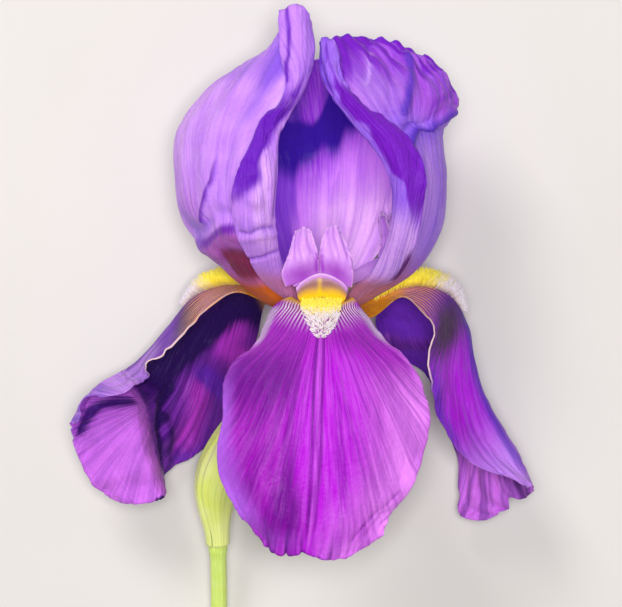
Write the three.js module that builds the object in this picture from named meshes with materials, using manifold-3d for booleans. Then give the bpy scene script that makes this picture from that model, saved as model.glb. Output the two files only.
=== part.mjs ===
// A bearded iris flower, as picked and laid on its back: three falls with their beards, three
// standards, the style with its three petal-like arms, three stamens, and below them the tube,
// the ovary, two spathe valves and the stalk. All sizes are in millimetres.
//
// Every piece is laid out in the flower's frame: its origin is the throat, X runs to the right and
// Y from the stalk to the standards, and Z rises towards whoever looks into the flower. A petal is
// a net of points. Its rows run from the seat on the tube to the tip, and each row runs across the
// petal. The side that dt x ds points to is the petal's inner face.

import * as THREE from 'three';
import Module from 'manifold-3d';
import { mergeVertices } from 'three/addons/utils/BufferGeometryUtils.js';

const wasm = await Module();
wasm.setup();

// Driving dimensions
const THROAT = [4.8, 19.9, 36];
const PETAL_THICKNESS = 0.7;
const CLEARANCE = 0.3;
const SEAT_HEIGHT = -3.6;
const FALL_SEAT_RADIUS = 5.2;
const STANDARD_SEAT_RADIUS = 4.9;
const SEAT_WIDTH = 4.4;
const TUBE_TOP = 4.6;
const TUBE_LENGTH = 24;
const OVARY_LENGTH = 20;
const TUBE_TOP_RADIUS = 6.2;
const TUBE_RADIUS = 3;
const OVARY_RADIUS = 3.7;
const STALK_RADIUS = 2.1;
const SPATHE_LENGTH = 70;
const SPATHE_DROP = 27;
const COLUMN_RADIUS = 2;
const FLOOR = -THROAT[2];

const COLOURS = {
  fall: 0xa826d8,
  paleStandard: 0xcf9cf5,
  darkStandard: 0x7c4be0,
  style: 0xd99cf0,
  beard: 0xf6d31c,
  stamen: 0xe9dfb4,
  stalk: 0xbfd05c,
  ovary: 0x86b04a,
  tube: 0x9c8fb4,
  spathe: 0xd2e27c,
};

// Small helpers on points

function add(a, b, scale = 1) {
  return [a[0] + b[0] * scale, a[1] + b[1] * scale, a[2] + b[2] * scale];
}

function cross(a, b) {
  return [a[1] * b[2] - a[2] * b[1], a[2] * b[0] - a[0] * b[2], a[0] * b[1] - a[1] * b[0]];
}

function unit(a) {
  return a.map((value) => value / (Math.hypot(...a) || 1));
}

function rise(from, to, value) {
  return THREE.MathUtils.smoothstep(value, from, to);
}

// Repeatable draws between 0 and 1
function seededDraws(seed) {
  let state = seed;
  return () => {
    state = (state * 1664525 + 1013904223) % 4294967296;
    return state / 4294967296;
  };
}

// A point at an azimuth round the Y axis: 0 faces the viewer, positive turns to the right
function turned(azimuth, across, height, out) {
  const angle = THREE.MathUtils.degToRad(azimuth);
  return [
    out * Math.sin(angle) + across * Math.cos(angle),
    height,
    out * Math.cos(angle) - across * Math.sin(angle),
  ];
}

// The narrow foot of a petal, where it sits on the tube's rim
function seat(azimuth, radius, columns) {
  return Array.from({ length: columns }, (_, i) =>
    turned(azimuth, SEAT_WIDTH * (i / (columns - 1) - 0.5), SEAT_HEIGHT, radius));
}

// Catmull-Rom point on a row of points, and on a net of rows
function rowPoint(points, t) {
  const last = points.length - 1;
  const i = Math.min(Math.floor(t * last), last - 1);
  const f = t * last - i;
  const b = points[i];
  const c = points[i + 1];
  const a = i > 0 ? points[i - 1] : add(add(b, b), c, -1);
  const d = i + 2 <= last ? points[i + 2] : add(add(c, c), b, -1);
  return b.map((_, k) =>
    0.5 * (2 * b[k] + (c[k] - a[k]) * f + (2 * a[k] - 5 * b[k] + 4 * c[k] - d[k]) * f * f
      + (3 * b[k] - a[k] - 3 * c[k] + d[k]) * f ** 3));
}

function netPoint(net, s, t) {
  return rowPoint(net.map((row) => rowPoint(row, s)), t);
}

function normalOf(surface, s, t) {
  const step = 0.004;
  const alongS = add(surface(Math.min(s + step, 1), t), surface(Math.max(s - step, 0), t), -1);
  const alongT = add(surface(s, Math.min(t + step, 1)), surface(s, Math.max(t - step, 0)), -1);
  return unit(cross(alongT, alongS));
}

// A petal's surface: its net, waved along the sides and the tip
function wavedNet(net, waves) {
  const plain = (s, t) => netPoint(net, s, t);
  return (s, t) => {
    const side = Math.abs(2 * s - 1);
    const margin = rise(waves.inset, 1, side) * rise(waves.start, waves.start + 0.3, t);
    const turn = 2 * Math.PI * (waves.count * t + (s > 0.5 ? 0.35 : 0) + waves.shift);
    const tip = rise(0.8, 1, t) * (1 - side * side);
    const wave = margin * Math.sin(turn) + 0.7 * tip * Math.sin(4 * Math.PI * (s + waves.shift));
    return add(plain(s, t), normalOf(plain, s, t), waves.height * wave);
  };
}

// Geometry

// Both faces of a waved sheet are split along the same diagonals, so that they can't cross
function alikeDiagonals(box) {
  const back = box.groups[5];
  const index = box.index.array;
  for (let i = back.start; i < back.start + back.count; i += 6) {
    const [a, b, d, , c] = index.slice(i, i + 6);
    index.set([a, b, c, a, c, d], i);
  }
}

function facingOut(geometry) {
  const index = geometry.index.array;
  const corner = (i) => new THREE.Vector3().fromBufferAttribute(geometry.attributes.position, index[i]);
  let volume = 0;
  for (let i = 0; i < index.length; i += 3) {
    volume += corner(i).dot(corner(i + 1).cross(corner(i + 2)));
  }
  if (volume < 0) index.reverse();
  return geometry;
}

function closed(geometry) {
  geometry.deleteAttribute('normal');
  geometry.deleteAttribute('uv');
  geometry.clearGroups();
  return facingOut(mergeVertices(geometry, 1e-4));
}

// A thin closed sheet on a surface. What would sink into the floor lies flat on it.
function sheet(surface, across, along, thickness = PETAL_THICKNESS) {
  const box = new THREE.BoxGeometry(1, 1, 1, across, along, 1);
  alikeDiagonals(box);
  const position = box.attributes.position;
  for (let i = 0; i < position.count; i += 1) {
    const s = position.getX(i) + 0.5;
    const t = position.getY(i) + 0.5;
    const face = Math.sign(position.getZ(i));
    const normal = normalOf(surface, s, t);
    const middle = surface(s, t);
    middle[2] = Math.max(middle[2], FLOOR + Math.abs(normal[2]) * thickness / 2);
    position.setXYZ(i, ...add(middle, normal, face * thickness / 2));
  }
  return closed(box);
}

// A round piece bent along a curve, from one arc length to another
function bent(curve, from, to, steps, sides, radiusAt) {
  const cylinder = new THREE.CylinderGeometry(1, 1, 1, sides, steps);
  const position = cylinder.attributes.position;
  const length = curve.getLength();
  for (let i = 0; i < position.count; i += 1) {
    const t = position.getY(i) + 0.5;
    const u = THREE.MathUtils.lerp(from, to, t) / length;
    const tangent = curve.getTangentAt(u).toArray();
    const side = unit(cross(tangent, [0, 0, 1]));
    const front = cross(side, tangent);
    const angle = Math.atan2(position.getZ(i), position.getX(i));
    const radius = radiusAt(t, angle) * Math.round(Math.hypot(position.getX(i), position.getZ(i)));
    const centre = curve.getPointAt(u).toArray();
    const offset = add(add([0, 0, 0], side, radius * Math.cos(angle)), front, radius * Math.sin(angle));
    position.setXYZ(i, ...add(centre, offset));
  }
  return closed(cylinder);
}

function solidOf(geometry) {
  const mesh = new wasm.Mesh({
    numProp: 3,
    vertProperties: new Float32Array(geometry.attributes.position.array),
    triVerts: new Uint32Array(geometry.index.array),
  });
  return new wasm.Manifold(mesh);
}

function joined(geometries) {
  const solid = geometries.map(solidOf).reduce((whole, piece) => whole.add(piece));
  const largest = solid.decompose().sort((a, b) => b.volume() - a.volume())[0];
  const mesh = largest.getMesh();
  const geometry = new THREE.BufferGeometry();
  geometry.setAttribute('position', new THREE.BufferAttribute(mesh.vertProperties, mesh.numProp));
  geometry.setIndex(new THREE.BufferAttribute(mesh.triVerts, 1));
  return geometry;
}

// The falls: a narrow haft that arches out from the throat, then a broad drooping blade

const FALL_FRONT = [
  seat(0, FALL_SEAT_RADIUS, 5),
  [[-6.4, -0.5, 10.4], [-3.2, -2, 10.2], [0, -2.6, 10], [3.2, -2, 10.2], [6.4, -0.5, 10.4]],
  [[-8, 0.6, 18.2], [-4.2, -1.2, 18.2], [0, -1.6, 18], [4, -1.2, 18.2], [7.4, 0.5, 18.2]],
  [[-12.2, -2.2, 25], [-6.3, -2.7, 26.4], [0, -3, 27], [5.2, -2.8, 26.4], [9.8, -2.6, 25]],
  [[-15.6, -9.6, 29], [-8, -8.6, 32.6], [-0.3, -8, 33.6], [7.3, -8.6, 32.8], [14.8, -9.4, 29.5]],
  [[-22.8, -18, 31], [-12, -17.6, 36.4], [-0.9, -17.5, 38], [11.4, -17.6, 36.6], [23, -18, 31.5]],
  [[-24.2, -30, 33], [-13, -29.5, 38], [-1.3, -29, 39.6], [12, -29.2, 38.4], [25.2, -30, 33.5]],
  [[-24.8, -41.5, 34], [-13.2, -41.3, 38], [-1.8, -41, 39.4], [10.8, -41.2, 38.2], [22.6, -41.5, 34.5]],
  [[-19.6, -50.8, 34], [-11, -52, 37], [-2.6, -52, 38], [7.6, -52, 37.2], [16.8, -50.8, 34.2]],
  [[-16, -56.6, 33], [-10, -60.8, 34.5], [-3.6, -60.6, 35.6], [4.4, -61.8, 35.4], [13.4, -56.6, 33.5]],
];

// Rows run from the far margin, over the ridge, to the near margin
const FALL_LEFT = [
  seat(-120, FALL_SEAT_RADIUS, 6),
  [[-8.1, 0.8, -10.2], [-8.8, 0.3, -9], [-9.6, 0, -7.6], [-10.4, 0, -6], [-11.6, -0.2, -2.4],
    [-12.2, -1.4, 2.2]],
  [[-14.2, -0.6, -18], [-15.2, 1.5, -16.2], [-16.4, 3, -13.6], [-17.8, 3.6, -10.5],
    [-19.5, 3.2, -7], [-21, 2, -4]],
  [[-16.6, -9, -25.5], [-19.2, -3.6, -23.6], [-22, 0.8, -20], [-25.6, 3.6, -14.5], [-26.6, 2, -8],
    [-27.2, -1, -2]],
  [[-20, -22, -31.5], [-23.6, -13.5, -29.6], [-27.4, -6.5, -25.4], [-33, 0.2, -18.5],
    [-33.4, -3.2, -10], [-33.4, -7, -1]],
  [[-25.6, -34.6, -36.3], [-29.2, -24.5, -32.5], [-33.6, -15.5, -27], [-39, -7, -20],
    [-39.2, -9.8, -10], [-39, -12.6, 0]],
  [[-33.6, -40.4, -32.5], [-35.8, -31, -29.5], [-38.6, -22, -25.5], [-43.8, -13, -20.5],
    [-43.9, -14.8, -10], [-43.4, -15.8, 0]],
  [[-40.6, -45.4, -23], [-41.8, -35.5, -21.5], [-43.6, -26, -20], [-48.2, -17, -20.5],
    [-47, -18.4, -11], [-44.4, -19.6, -3]],
  [[-40.4, -50.2, -8], [-44.6, -38.5, -6.5], [-47.4, -28, -9.5], [-52.6, -20, -17],
    [-51, -20.6, -8], [-48.2, -22.4, 1]],
  [[-48, -51.4, -9.5], [-52.4, -42, -8.5], [-55.2, -32.6, -10], [-58.4, -24.2, -14],
    [-57.8, -23.4, -7], [-57.2, -23.8, 1.5]],
  [[-54, -50.6, -12], [-58.6, -46.4, -12], [-61.6, -40.6, -11], [-63.3, -35, -9],
    [-63, -31.6, -5], [-61.8, -30.2, 0]],
];

// Rows run from the near margin, over the ridge, to the far margin
const FALL_RIGHT = [
  seat(120, FALL_SEAT_RADIUS, 6),
  [[12.4, -4.2, 3.2], [12, -1.6, -1], [10.6, 0, -6], [9.6, 0, -7.6], [8.8, 0.3, -9], [8.1, 0.8, -10.2]],
  [[20, 0.8, -3], [19.9, 2.5, -6.5], [19.4, 3.2, -10], [17.6, 2.8, -13.4], [15.8, 1.4, -16.2],
    [14.2, -0.8, -18]],
  [[25, -3, 0], [26.2, 1.2, -6], [26.8, 3.8, -12.5], [23, 1.6, -18.5], [18.6, -1.8, -22],
    [14.2, -7, -24]],
  [[28, -7.4, 3], [30.8, -3, -4.5], [33, 0.8, -12.8], [28.8, -4, -21], [23.8, -8.6, -26.6],
    [18.6, -13.6, -30]],
  [[26.6, -14.4, 5.5], [32.2, -10.2, -2], [36.8, -6, -11.5], [33.8, -9.6, -22], [30, -13.8, -29],
    [26.4, -18.6, -33.4]],
  [[27.2, -22, 5], [33, -18.4, -1], [38.4, -15, -9.5], [36.4, -17.6, -22], [33.4, -21.4, -31],
    [30.4, -26.4, -36.3]],
  [[29.8, -30, 3.5], [35.4, -26.4, -1.5], [40.6, -22.8, -8.5], [39, -26.6, -20.5],
    [36.2, -31, -29], [33.4, -36, -33.4]],
  [[33.6, -37.4, 1], [39.4, -33.8, -3], [44.6, -30.6, -8.5], [42.4, -36.4, -18], [39.4, -41, -24.5],
    [36.2, -46, -28]],
  [[42.2, -42.8, -1], [46, -40.4, -4.5], [49.4, -38.4, -9], [45.8, -44.6, -17], [40.8, -50.2, -22],
    [35.4, -55.2, -25]],
  [[51.6, -46.8, -4], [53.2, -47, -6.5], [53.8, -48.2, -10], [51.4, -51, -15.5], [47.6, -54, -19.5],
    [42.6, -56.6, -22.5]],
];

// The standards: upright and domed. The two in front roll their near margins outwards.

// Rows run from the back margin, round the outside, over the near fold to the rolled margin
const STANDARD_LEFT = [
  seat(-60, STANDARD_SEAT_RADIUS, 8),
  [[-9.8, 1.4, 1.2], [-11.8, 1.3, 2.6], [-13.6, 1.2, 4.2], [-14, 1.2, 6.4], [-11.8, 1.3, 8.8],
    [-7, 2.9, 11], [-9.8, 2.8, 13.2], [-13.4, 3.5, 12.8]],
  [[-21, 9, -1.5], [-23.6, 9.3, 0], [-24.5, 9.5, 3], [-23.5, 9.5, 10], [-18, 9, 15],
    [-9.8, 8.2, 17], [-13.3, 9, 20.6], [-17.8, 9.8, 20.4]],
  [[-26.5, 18, -14], [-31.5, 18.3, -8], [-34, 18.5, 2], [-30.5, 18.3, 14], [-21.5, 18, 22],
    [-11.4, 17.8, 25], [-15.8, 18.3, 29.5], [-21.5, 19, 28.5]],
  [[-27, 30, -21], [-34, 30, -11], [-36.5, 30, 2], [-32.5, 29.5, 15], [-22.5, 29, 24.5],
    [-10.9, 28.8, 29], [-15, 29.2, 33], [-20.6, 29.6, 32]],
  [[-24, 42.5, -21], [-32.5, 42.5, -10], [-36, 42, 2], [-31, 41, 14], [-20.5, 40.5, 23],
    [-10, 40.5, 27], [-12.3, 40.7, 31], [-15.6, 41, 30]],
  [[-17, 53, -15], [-25, 53, -7], [-28.5, 52.5, 2], [-24.5, 51.5, 12], [-15.5, 51.5, 19],
    [-4.8, 50.8, 22], [-6.5, 50.8, 26], [-9, 51, 25.5]],
  [[-10, 59.5, -9], [-16, 59, -4], [-20, 58.3, 2.5], [-17.8, 58.5, 9], [-11.2, 61, 14],
    [-2, 60.5, 16], [-5.6, 61.5, 19.5], [-10.6, 61.4, 17.5]],
  [[-5.5, 62, -5], [-9, 61.8, -1.5], [-13.5, 61.5, 3], [-13.2, 62, 7.5], [-10, 67, 10.5],
    [-2.6, 67.8, 12], [-5.6, 72.4, 15], [-10.4, 70.6, 13.6]],
];

// Rows run from the rolled near margin, over the fold and round the outside, to the back margin
const STANDARD_RIGHT = [
  seat(60, STANDARD_SEAT_RADIUS, 8),
  [[12.6, 2.6, 12.6], [9.8, 2.7, 12.8], [7.5, 2.7, 10.8], [11.6, 1.5, 8.6], [13.6, 1.2, 6.2],
    [13.4, 1.2, 4.2], [11.8, 1.3, 2.6], [9.8, 1.4, 1.2]],
  [[18.6, 5.8, 20], [15.2, 6.4, 20.6], [12, 7, 17.4], [18.8, 7.4, 14.6], [22.8, 7.5, 9],
    [23.8, 8, 3.4], [23.4, 8.5, 1], [21.4, 8.7, -0.4]],
  [[22.7, 14.5, 27], [19, 15.5, 28.5], [16.2, 16, 24.5], [22.3, 16.5, 20.5], [28, 17, 12.5],
    [29.7, 18, 2], [28, 18, -7], [24.5, 18, -13.5]],
  [[24.5, 27.5, 30], [20, 27, 32], [16.8, 27, 28], [24, 28.5, 22.5], [29.5, 29, 13.5],
    [30.8, 29.5, 3], [29, 30, -10], [24.5, 30, -21]],
  [[22, 37.5, 29.5], [17.5, 37, 31.5], [13.5, 35, 27.5], [21, 40, 21], [28, 41, 12.5],
    [29.8, 41, 4], [28, 41, -8], [22, 41, -20]],
  [[14.5, 44, 27], [11, 44.5, 28], [8, 42, 24], [18.5, 44, 22.5], [27, 42.5, 18],
    [31.5, 44.5, 7], [26, 47, -5], [19, 48, -16]],
  [[7.5, 49.4, 22], [4.8, 51, 22.5], [2.6, 49.5, 19], [15.5, 52, 19.5], [28, 50.5, 16],
    [33.3, 49, 7], [24, 54.5, -3], [17, 55, -11.5]],
  [[4.6, 56, 18.5], [2, 57, 19], [-0.3, 56, 15.5], [11, 59.5, 14.5], [22, 59.5, 11],
    [29.5, 56.5, 5], [17, 61.5, -1], [9.5, 61.3, -7.5]],
  [[3, 63.5, 13.5], [1, 64.2, 14], [-0.5, 63.5, 11], [6, 64.8, 9.5], [16.5, 64, 7],
    [25, 60.5, 3], [10, 65.5, 0], [2, 64.5, -5]],
];

// Rows run from the right margin, round the back that the flower lies on, to the left margin
const STANDARD_BACK = [
  seat(180, STANDARD_SEAT_RADIUS, 7),
  [[6.6, 3.6, -8.8], [4.6, 3, -10.4], [2.2, 2.8, -11.4], [0, 2.6, -11.6], [-2.2, 2.8, -11.4],
    [-4.6, 3, -10.4], [-6.6, 3.6, -8.8]],
  [[14.4, 12, -16.6], [11, 12, -19.2], [5.6, 12, -21], [0, 12, -21.8], [-5.6, 12, -21],
    [-11, 12, -19.2], [-14.4, 12, -16.6]],
  [[20.4, 24, -16], [16, 24, -23], [8.5, 24, -29], [0, 24, -31.2], [-8.5, 24, -29],
    [-16, 24, -23], [-20.4, 24, -16]],
  [[22, 36, -10], [17.5, 36, -23], [9.5, 36, -33], [0, 36, -36.8], [-9.5, 36, -33],
    [-17.5, 36, -23], [-22, 36, -10]],
  [[20.5, 46, -6], [16.5, 47, -18], [9, 47.5, -27.5], [0, 47.5, -31], [-9, 47.5, -27.5],
    [-16.5, 47, -18], [-20.5, 46, -6]],
  [[13, 52.5, -1], [11, 54.4, -9.6], [6.6, 56.6, -17], [0, 57.5, -20.5], [-6.6, 56.6, -17],
    [-11, 54.4, -9.6], [-13, 52.5, -1]],
  [[8, 54, 4], [6.5, 57, -2], [4, 59.5, -7], [0, 60.5, -9], [-4, 59.5, -7],
    [-6.5, 57, -2], [-8, 54, 4]],
];

const PETALS = {
  fall_front: { net: FALL_FRONT, across: 14, colour: COLOURS.fall,
    waves: { count: 6, height: 0.7, inset: 0.6, start: 0.35, shift: 0 } },
  fall_left: { net: FALL_LEFT, across: 12, colour: COLOURS.fall,
    waves: { count: 6, height: 0.7, inset: 0.6, start: 0.4, shift: 0.3 } },
  fall_right: { net: FALL_RIGHT, across: 12, colour: COLOURS.fall,
    waves: { count: 6, height: 0.7, inset: 0.6, start: 0.4, shift: 0.6 } },
  standard_left: { net: STANDARD_LEFT, across: 16, colour: COLOURS.paleStandard,
    waves: { count: 6, height: 0.7, inset: 0.75, start: 0.3, shift: 0.1 } },
  standard_right: { net: STANDARD_RIGHT, across: 16, colour: COLOURS.darkStandard,
    waves: { count: 7, height: 0.8, inset: 0.75, start: 0.3, shift: 0.5 } },
  standard_back: { net: STANDARD_BACK, across: 14, colour: COLOURS.paleStandard,
    waves: { count: 6, height: 0.8, inset: 0.6, start: 0.4, shift: 0.8 } },
};
const CELLS_ALONG = 22;

// The beards: a thin pad on the inner face of each haft, thick with stiff hairs

const BEARDS = {
  beard_front: { on: 'fall_front', ridge: 0.5, from: 0.17, to: 0.46, width: 3.6, seed: 11 },
  beard_left: { on: 'fall_left', ridge: 0.6, from: 0.14, to: 0.44, width: 3.2, seed: 23 },
  beard_right: { on: 'fall_right', ridge: 0.4, from: 0.14, to: 0.44, width: 3.2, seed: 37 },
};
const PAD_THICKNESS = 0.7;
const PAD_LIFT = PETAL_THICKNESS / 2 + CLEARANCE + PAD_THICKNESS / 2;
const HAIR_ROWS = 15;
const HAIRS_ACROSS = 5;
const HAIR_RADIUS = 0.42;

function beardSurface(beard) {
  const fall = (s, t) => netPoint(PETALS[beard.on].net, s, t);
  return (s, t) => {
    const along = THREE.MathUtils.lerp(beard.from, beard.to, t);
    const half = beard.width * (0.85 * Math.sqrt(1 - t ** 2.2) + 0.15);
    const perUnit = Math.hypot(...add(fall(beard.ridge + 0.02, along), fall(beard.ridge - 0.02, along), -1)) / 0.04;
    const across = beard.ridge + (2 * s - 1) * half / perUnit;
    return add(fall(across, along), normalOf(fall, across, along), PAD_LIFT);
  };
}

function hair(foot, direction, length) {
  const cone = new THREE.ConeGeometry(HAIR_RADIUS, length, 3);
  cone.translate(0, length / 2, 0);
  cone.applyQuaternion(new THREE.Quaternion().setFromUnitVectors(
    new THREE.Vector3(0, 1, 0), new THREE.Vector3(...direction)));
  cone.translate(...foot);
  return closed(cone);
}

function beardOf(beard) {
  const surface = beardSurface(beard);
  const draw = seededDraws(beard.seed);
  const pieces = [sheet(surface, 4, 12, PAD_THICKNESS)];
  for (let row = 0; row < HAIR_ROWS; row += 1) {
    for (let place = 0; place < HAIRS_ACROSS; place += 1) {
      const t = (row + 0.3 + 0.5 * draw()) / HAIR_ROWS;
      const s = (place + 0.3 + 0.4 * draw()) / HAIRS_ACROSS;
      const normal = normalOf(surface, s, t);
      const outward = unit(add(surface(Math.min(s + 0.05, 1), t), surface(Math.max(s - 0.05, 0), t), -1));
      const direction = unit(add(normal, outward, (2 * s - 1) * 0.55));
      const length = 1.3 + 1.7 * rise(0.1, 0.45, t) + 0.4 * draw();
      pieces.push(hair(add(surface(s, t), normal, 0.05), direction, length));
    }
  }
  return joined(pieces);
}

// The style: a short column, and over each haft an arm that ends in a lip and two upright crests.
// Points are [across, height, out] along the arm's own azimuth.

const ARM = [
  [[-1.4, -0.4, 0.6], [-0.8, 0.4, 0.6], [0, 0.7, 0.6], [0.8, 0.4, 0.6], [1.4, -0.4, 0.6]],
  [[-2.6, 1.2, 5], [-1.4, 2.4, 5], [0, 3, 5], [1.4, 2.4, 5], [2.6, 1.2, 5]],
  [[-4, 2.4, 10], [-2.2, 4.2, 10], [0, 5, 10], [2.1, 4.2, 10], [3.9, 2.4, 10]],
  [[-5.6, 2.9, 15.5], [-3.3, 4.9, 15.5], [-0.3, 6.4, 15.5], [2.6, 5.2, 15.5], [5.4, 2.8, 15.5]],
  [[-7, 3.4, 20.5], [-4.4, 4.9, 20.5], [-0.6, 6.9, 20.5], [3.2, 5.6, 20.5], [6.8, 3.2, 20.5]],
];
const CREST_LEFT = [
  [[-7, 3.2, 20.3], [-4.4, 4.7, 20.3], [-0.8, 6.7, 20.3]],
  [[-9.6, 6.6, 21.2], [-5.4, 8, 22.2], [-0.8, 8.9, 21.3]],
  [[-9.6, 10, 21.8], [-5.6, 11, 22.8], [-1, 11, 21.8]],
  [[-8.8, 13.8, 21.2], [-5.4, 14.3, 22], [-1.9, 14, 21.4]],
  [[-6.8, 16.6, 19.8], [-4.8, 17.6, 20.2], [-2.8, 17, 20]],
];
const CREST_RIGHT = [
  [[-0.4, 6.7, 20.3], [3.2, 5.4, 20.3], [6.8, 3, 20.3]],
  [[-0.7, 8.9, 21.1], [3.6, 8.4, 22.2], [7.4, 5.6, 21.2]],
  [[-0.6, 11.2, 21.4], [3.6, 11.4, 22.8], [7.6, 9.8, 21.8]],
  [[-0.1, 14.6, 21.2], [3.2, 15, 22], [6.7, 13, 21.2]],
  [[1.2, 17.6, 20], [3, 18.2, 20.2], [5.1, 16.4, 19.8]],
];
const LIP = [
  [[-6.2, 3.8, 20], [-3.4, 5.3, 20], [-0.4, 6.6, 20], [2.8, 5.5, 20], [6, 3.6, 20]],
  [[-6, 2.4, 20.8], [-3.4, 3.6, 21], [-0.4, 4.9, 21.2], [2.8, 3.9, 21], [5.8, 2.2, 20.8]],
];
// The side falls arch higher than the front one, so what lies over them rises with them
const SIDE_RISE = 0.21;
// and, with less room between the standards, is narrower and a little shorter
const SIDE_WIDTH = 0.66;
const SIDE_REACH = 0.92;
const AZIMUTHS = { front: 0, left: -120, right: 120 };

function riseAt(azimuth, out) {
  return azimuth === 0 ? 0 : SIDE_RISE * out;
}

function armNet(rows, azimuth) {
  const [width, reach] = azimuth === 0 ? [1, 1] : [SIDE_WIDTH, SIDE_REACH];
  return rows.map((row) => row.map(([across, height, out]) =>
    turned(azimuth, across * width, height + riseAt(azimuth, out), out * reach)));
}

function armSheet(rows, azimuth, across, along) {
  const net = armNet(rows, azimuth);
  return sheet((s, t) => netPoint(net, s, t), across, along);
}

function style() {
  const axis = new THREE.LineCurve3(new THREE.Vector3(0, SEAT_HEIGHT, 0), new THREE.Vector3(0, 1.2, 0));
  const pieces = [bent(axis, 0, axis.getLength(), 2, 12, () => COLUMN_RADIUS)];
  for (const azimuth of Object.values(AZIMUTHS)) {
    pieces.push(armSheet(ARM, azimuth, 4, 7));
    pieces.push(armSheet(CREST_LEFT, azimuth, 4, 6));
    pieces.push(armSheet(CREST_RIGHT, azimuth, 4, 6));
    pieces.push(armSheet(LIP, azimuth, 4, 1));
  }
  return joined(pieces);
}

// The stamens: a slender filament on the tube's rim and a long anther under each arm

const FILAMENT_RADIUS = 0.5;
const ANTHER_RADIUS = 0.85;

function stamen(azimuth) {
  const path = [[3.3, SEAT_HEIGHT], [3.7, -1.6], [6, 0.6], [9.5, 1.9], [14, 2.8], [18, 3.7]];
  const curve = new THREE.CatmullRomCurve3(path.map(([out, height]) =>
    new THREE.Vector3(...turned(azimuth, 0, height + riseAt(azimuth, out), out))));
  const radiusAt = (t) => t < 0.5 ? FILAMENT_RADIUS
    : FILAMENT_RADIUS + (ANTHER_RADIUS - FILAMENT_RADIUS) * Math.sin(Math.PI * Math.min((t - 0.5) * 1.7, 1) ** 0.6);
  return bent(curve, 0, curve.getLength(), 14, 6, radiusAt);
}

// The axis of everything below the throat, measured by the length along it

const AXIS = new THREE.CatmullRomCurve3([
  [0, 0, 0], [0, -4.5, 0], [0, -9, -0.3], [-3.5, -15.5, -2.2], [-11, -24.5, -6.5],
  [-21.6, -35.5, -12], [-27.4, -48, -17], [-26.8, -62, -21.5], [-26.6, -78, -26.2], [-27, -112, -33.5],
].map((point) => new THREE.Vector3(...point)), false, 'centripetal');
const OVARY_TOP = TUBE_TOP + TUBE_LENGTH;
const STALK_TOP = OVARY_TOP + OVARY_LENGTH;
const SPATHE_FOOT = STALK_TOP + SPATHE_DROP;

function tube() {
  return bent(AXIS, TUBE_TOP, OVARY_TOP - CLEARANCE, 10, 16, (t) =>
    TUBE_RADIUS + (TUBE_TOP_RADIUS - TUBE_RADIUS) * rise(0.35, 1, 1 - t));
}

function ovary() {
  return bent(AXIS, OVARY_TOP, STALK_TOP - CLEARANCE, 8, 18, (t, angle) =>
    2.3 + (OVARY_RADIUS - 2.3) * Math.sin(Math.PI * t) + 0.35 * Math.sin(Math.PI * t) * Math.cos(3 * angle));
}

function stalk() {
  const swelling = (length) => 0.35 * Math.exp(-(((length - SPATHE_FOOT - 1.5) / 1.6) ** 2));
  const end = AXIS.getLength();
  return bent(AXIS, STALK_TOP, end, 22, 12, (t) =>
    STALK_RADIUS + swelling(THREE.MathUtils.lerp(STALK_TOP, end, t)));
}

// A spathe valve wraps part of the way round the axis, from its foot on the stalk to a free tip
function spathe(valve) {
  const surface = (s, t) => {
    const reach = valve.length * t;
    const u = (SPATHE_FOOT - reach) / AXIS.getLength();
    const tangent = AXIS.getTangentAt(u).toArray();
    const side = unit(cross(tangent, [0, 0, 1]));
    const front = cross(side, tangent);
    const half = valve.wrap * (1 + 0.2 * rise(25, 40, reach)) * (1 - rise(0.6, 1, t) * 0.9);
    const angle = THREE.MathUtils.degToRad(valve.facing + (2 * s - 1) * half);
    const radius = STALK_RADIUS + CLEARANCE + PETAL_THICKNESS / 2 + 0.1
      + valve.swell * rise(0, 24, reach) + valve.lean * rise(0.55, 1, t);
    const offset = add(add([0, 0, 0], side, radius * Math.cos(angle)), front, radius * Math.sin(angle));
    return add(AXIS.getPointAt(u).toArray(), offset);
  };
  return sheet(surface, 10, 16);
}

const SPATHES = {
  spathe_outer: { facing: 165, wrap: 98, swell: 5.2, lean: 1.8, length: SPATHE_LENGTH },
  spathe_inner: { facing: -15, wrap: 74, swell: 2.7, lean: 2, length: SPATHE_LENGTH - 9 },
};

// The flower

const flower = new THREE.Group();
flower.position.set(...THROAT);

function place(name, geometry, colour, roughness = 0.6) {
  const material = new THREE.MeshStandardMaterial({ color: colour, roughness, metalness: 0 });
  const mesh = new THREE.Mesh(geometry, material);
  mesh.name = name;
  flower.add(mesh);
}

for (const [name, petal] of Object.entries(PETALS)) {
  place(name, sheet(wavedNet(petal.net, petal.waves), petal.across, CELLS_ALONG), petal.colour);
}
for (const [name, beard] of Object.entries(BEARDS)) {
  place(name, beardOf(beard), COLOURS.beard, 0.9);
}
place('style', style(), COLOURS.style);
for (const [name, azimuth] of Object.entries(AZIMUTHS)) {
  place(`stamen_${name}`, stamen(azimuth), COLOURS.stamen);
}
place('perianth_tube', tube(), COLOURS.tube);
place('ovary', ovary(), COLOURS.ovary);
for (const [name, valve] of Object.entries(SPATHES)) {
  place(name, spathe(valve), COLOURS.spathe, 0.7);
}
place('stalk', stalk(), COLOURS.stalk);

export default flower;
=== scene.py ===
# A bearded iris flower, laid on its back on a pale table. The petals and the style are thin sheets
# bent over nets of points, in millimetres round the throat, where X runs to the right, Y from the
# stalk to the standards, and Z up to whoever looks into the flower. A net's rows run from the seat
# to the tip, and each row runs across the petal, so every place on a petal has two numbers: s
# across it and t along it, both from 0 to 1. The beards stand on the falls. The rest follow curves.

import math
from functools import partial

import bmesh
import bpy
import numpy as np
from mathutils import Matrix, Vector


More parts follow.
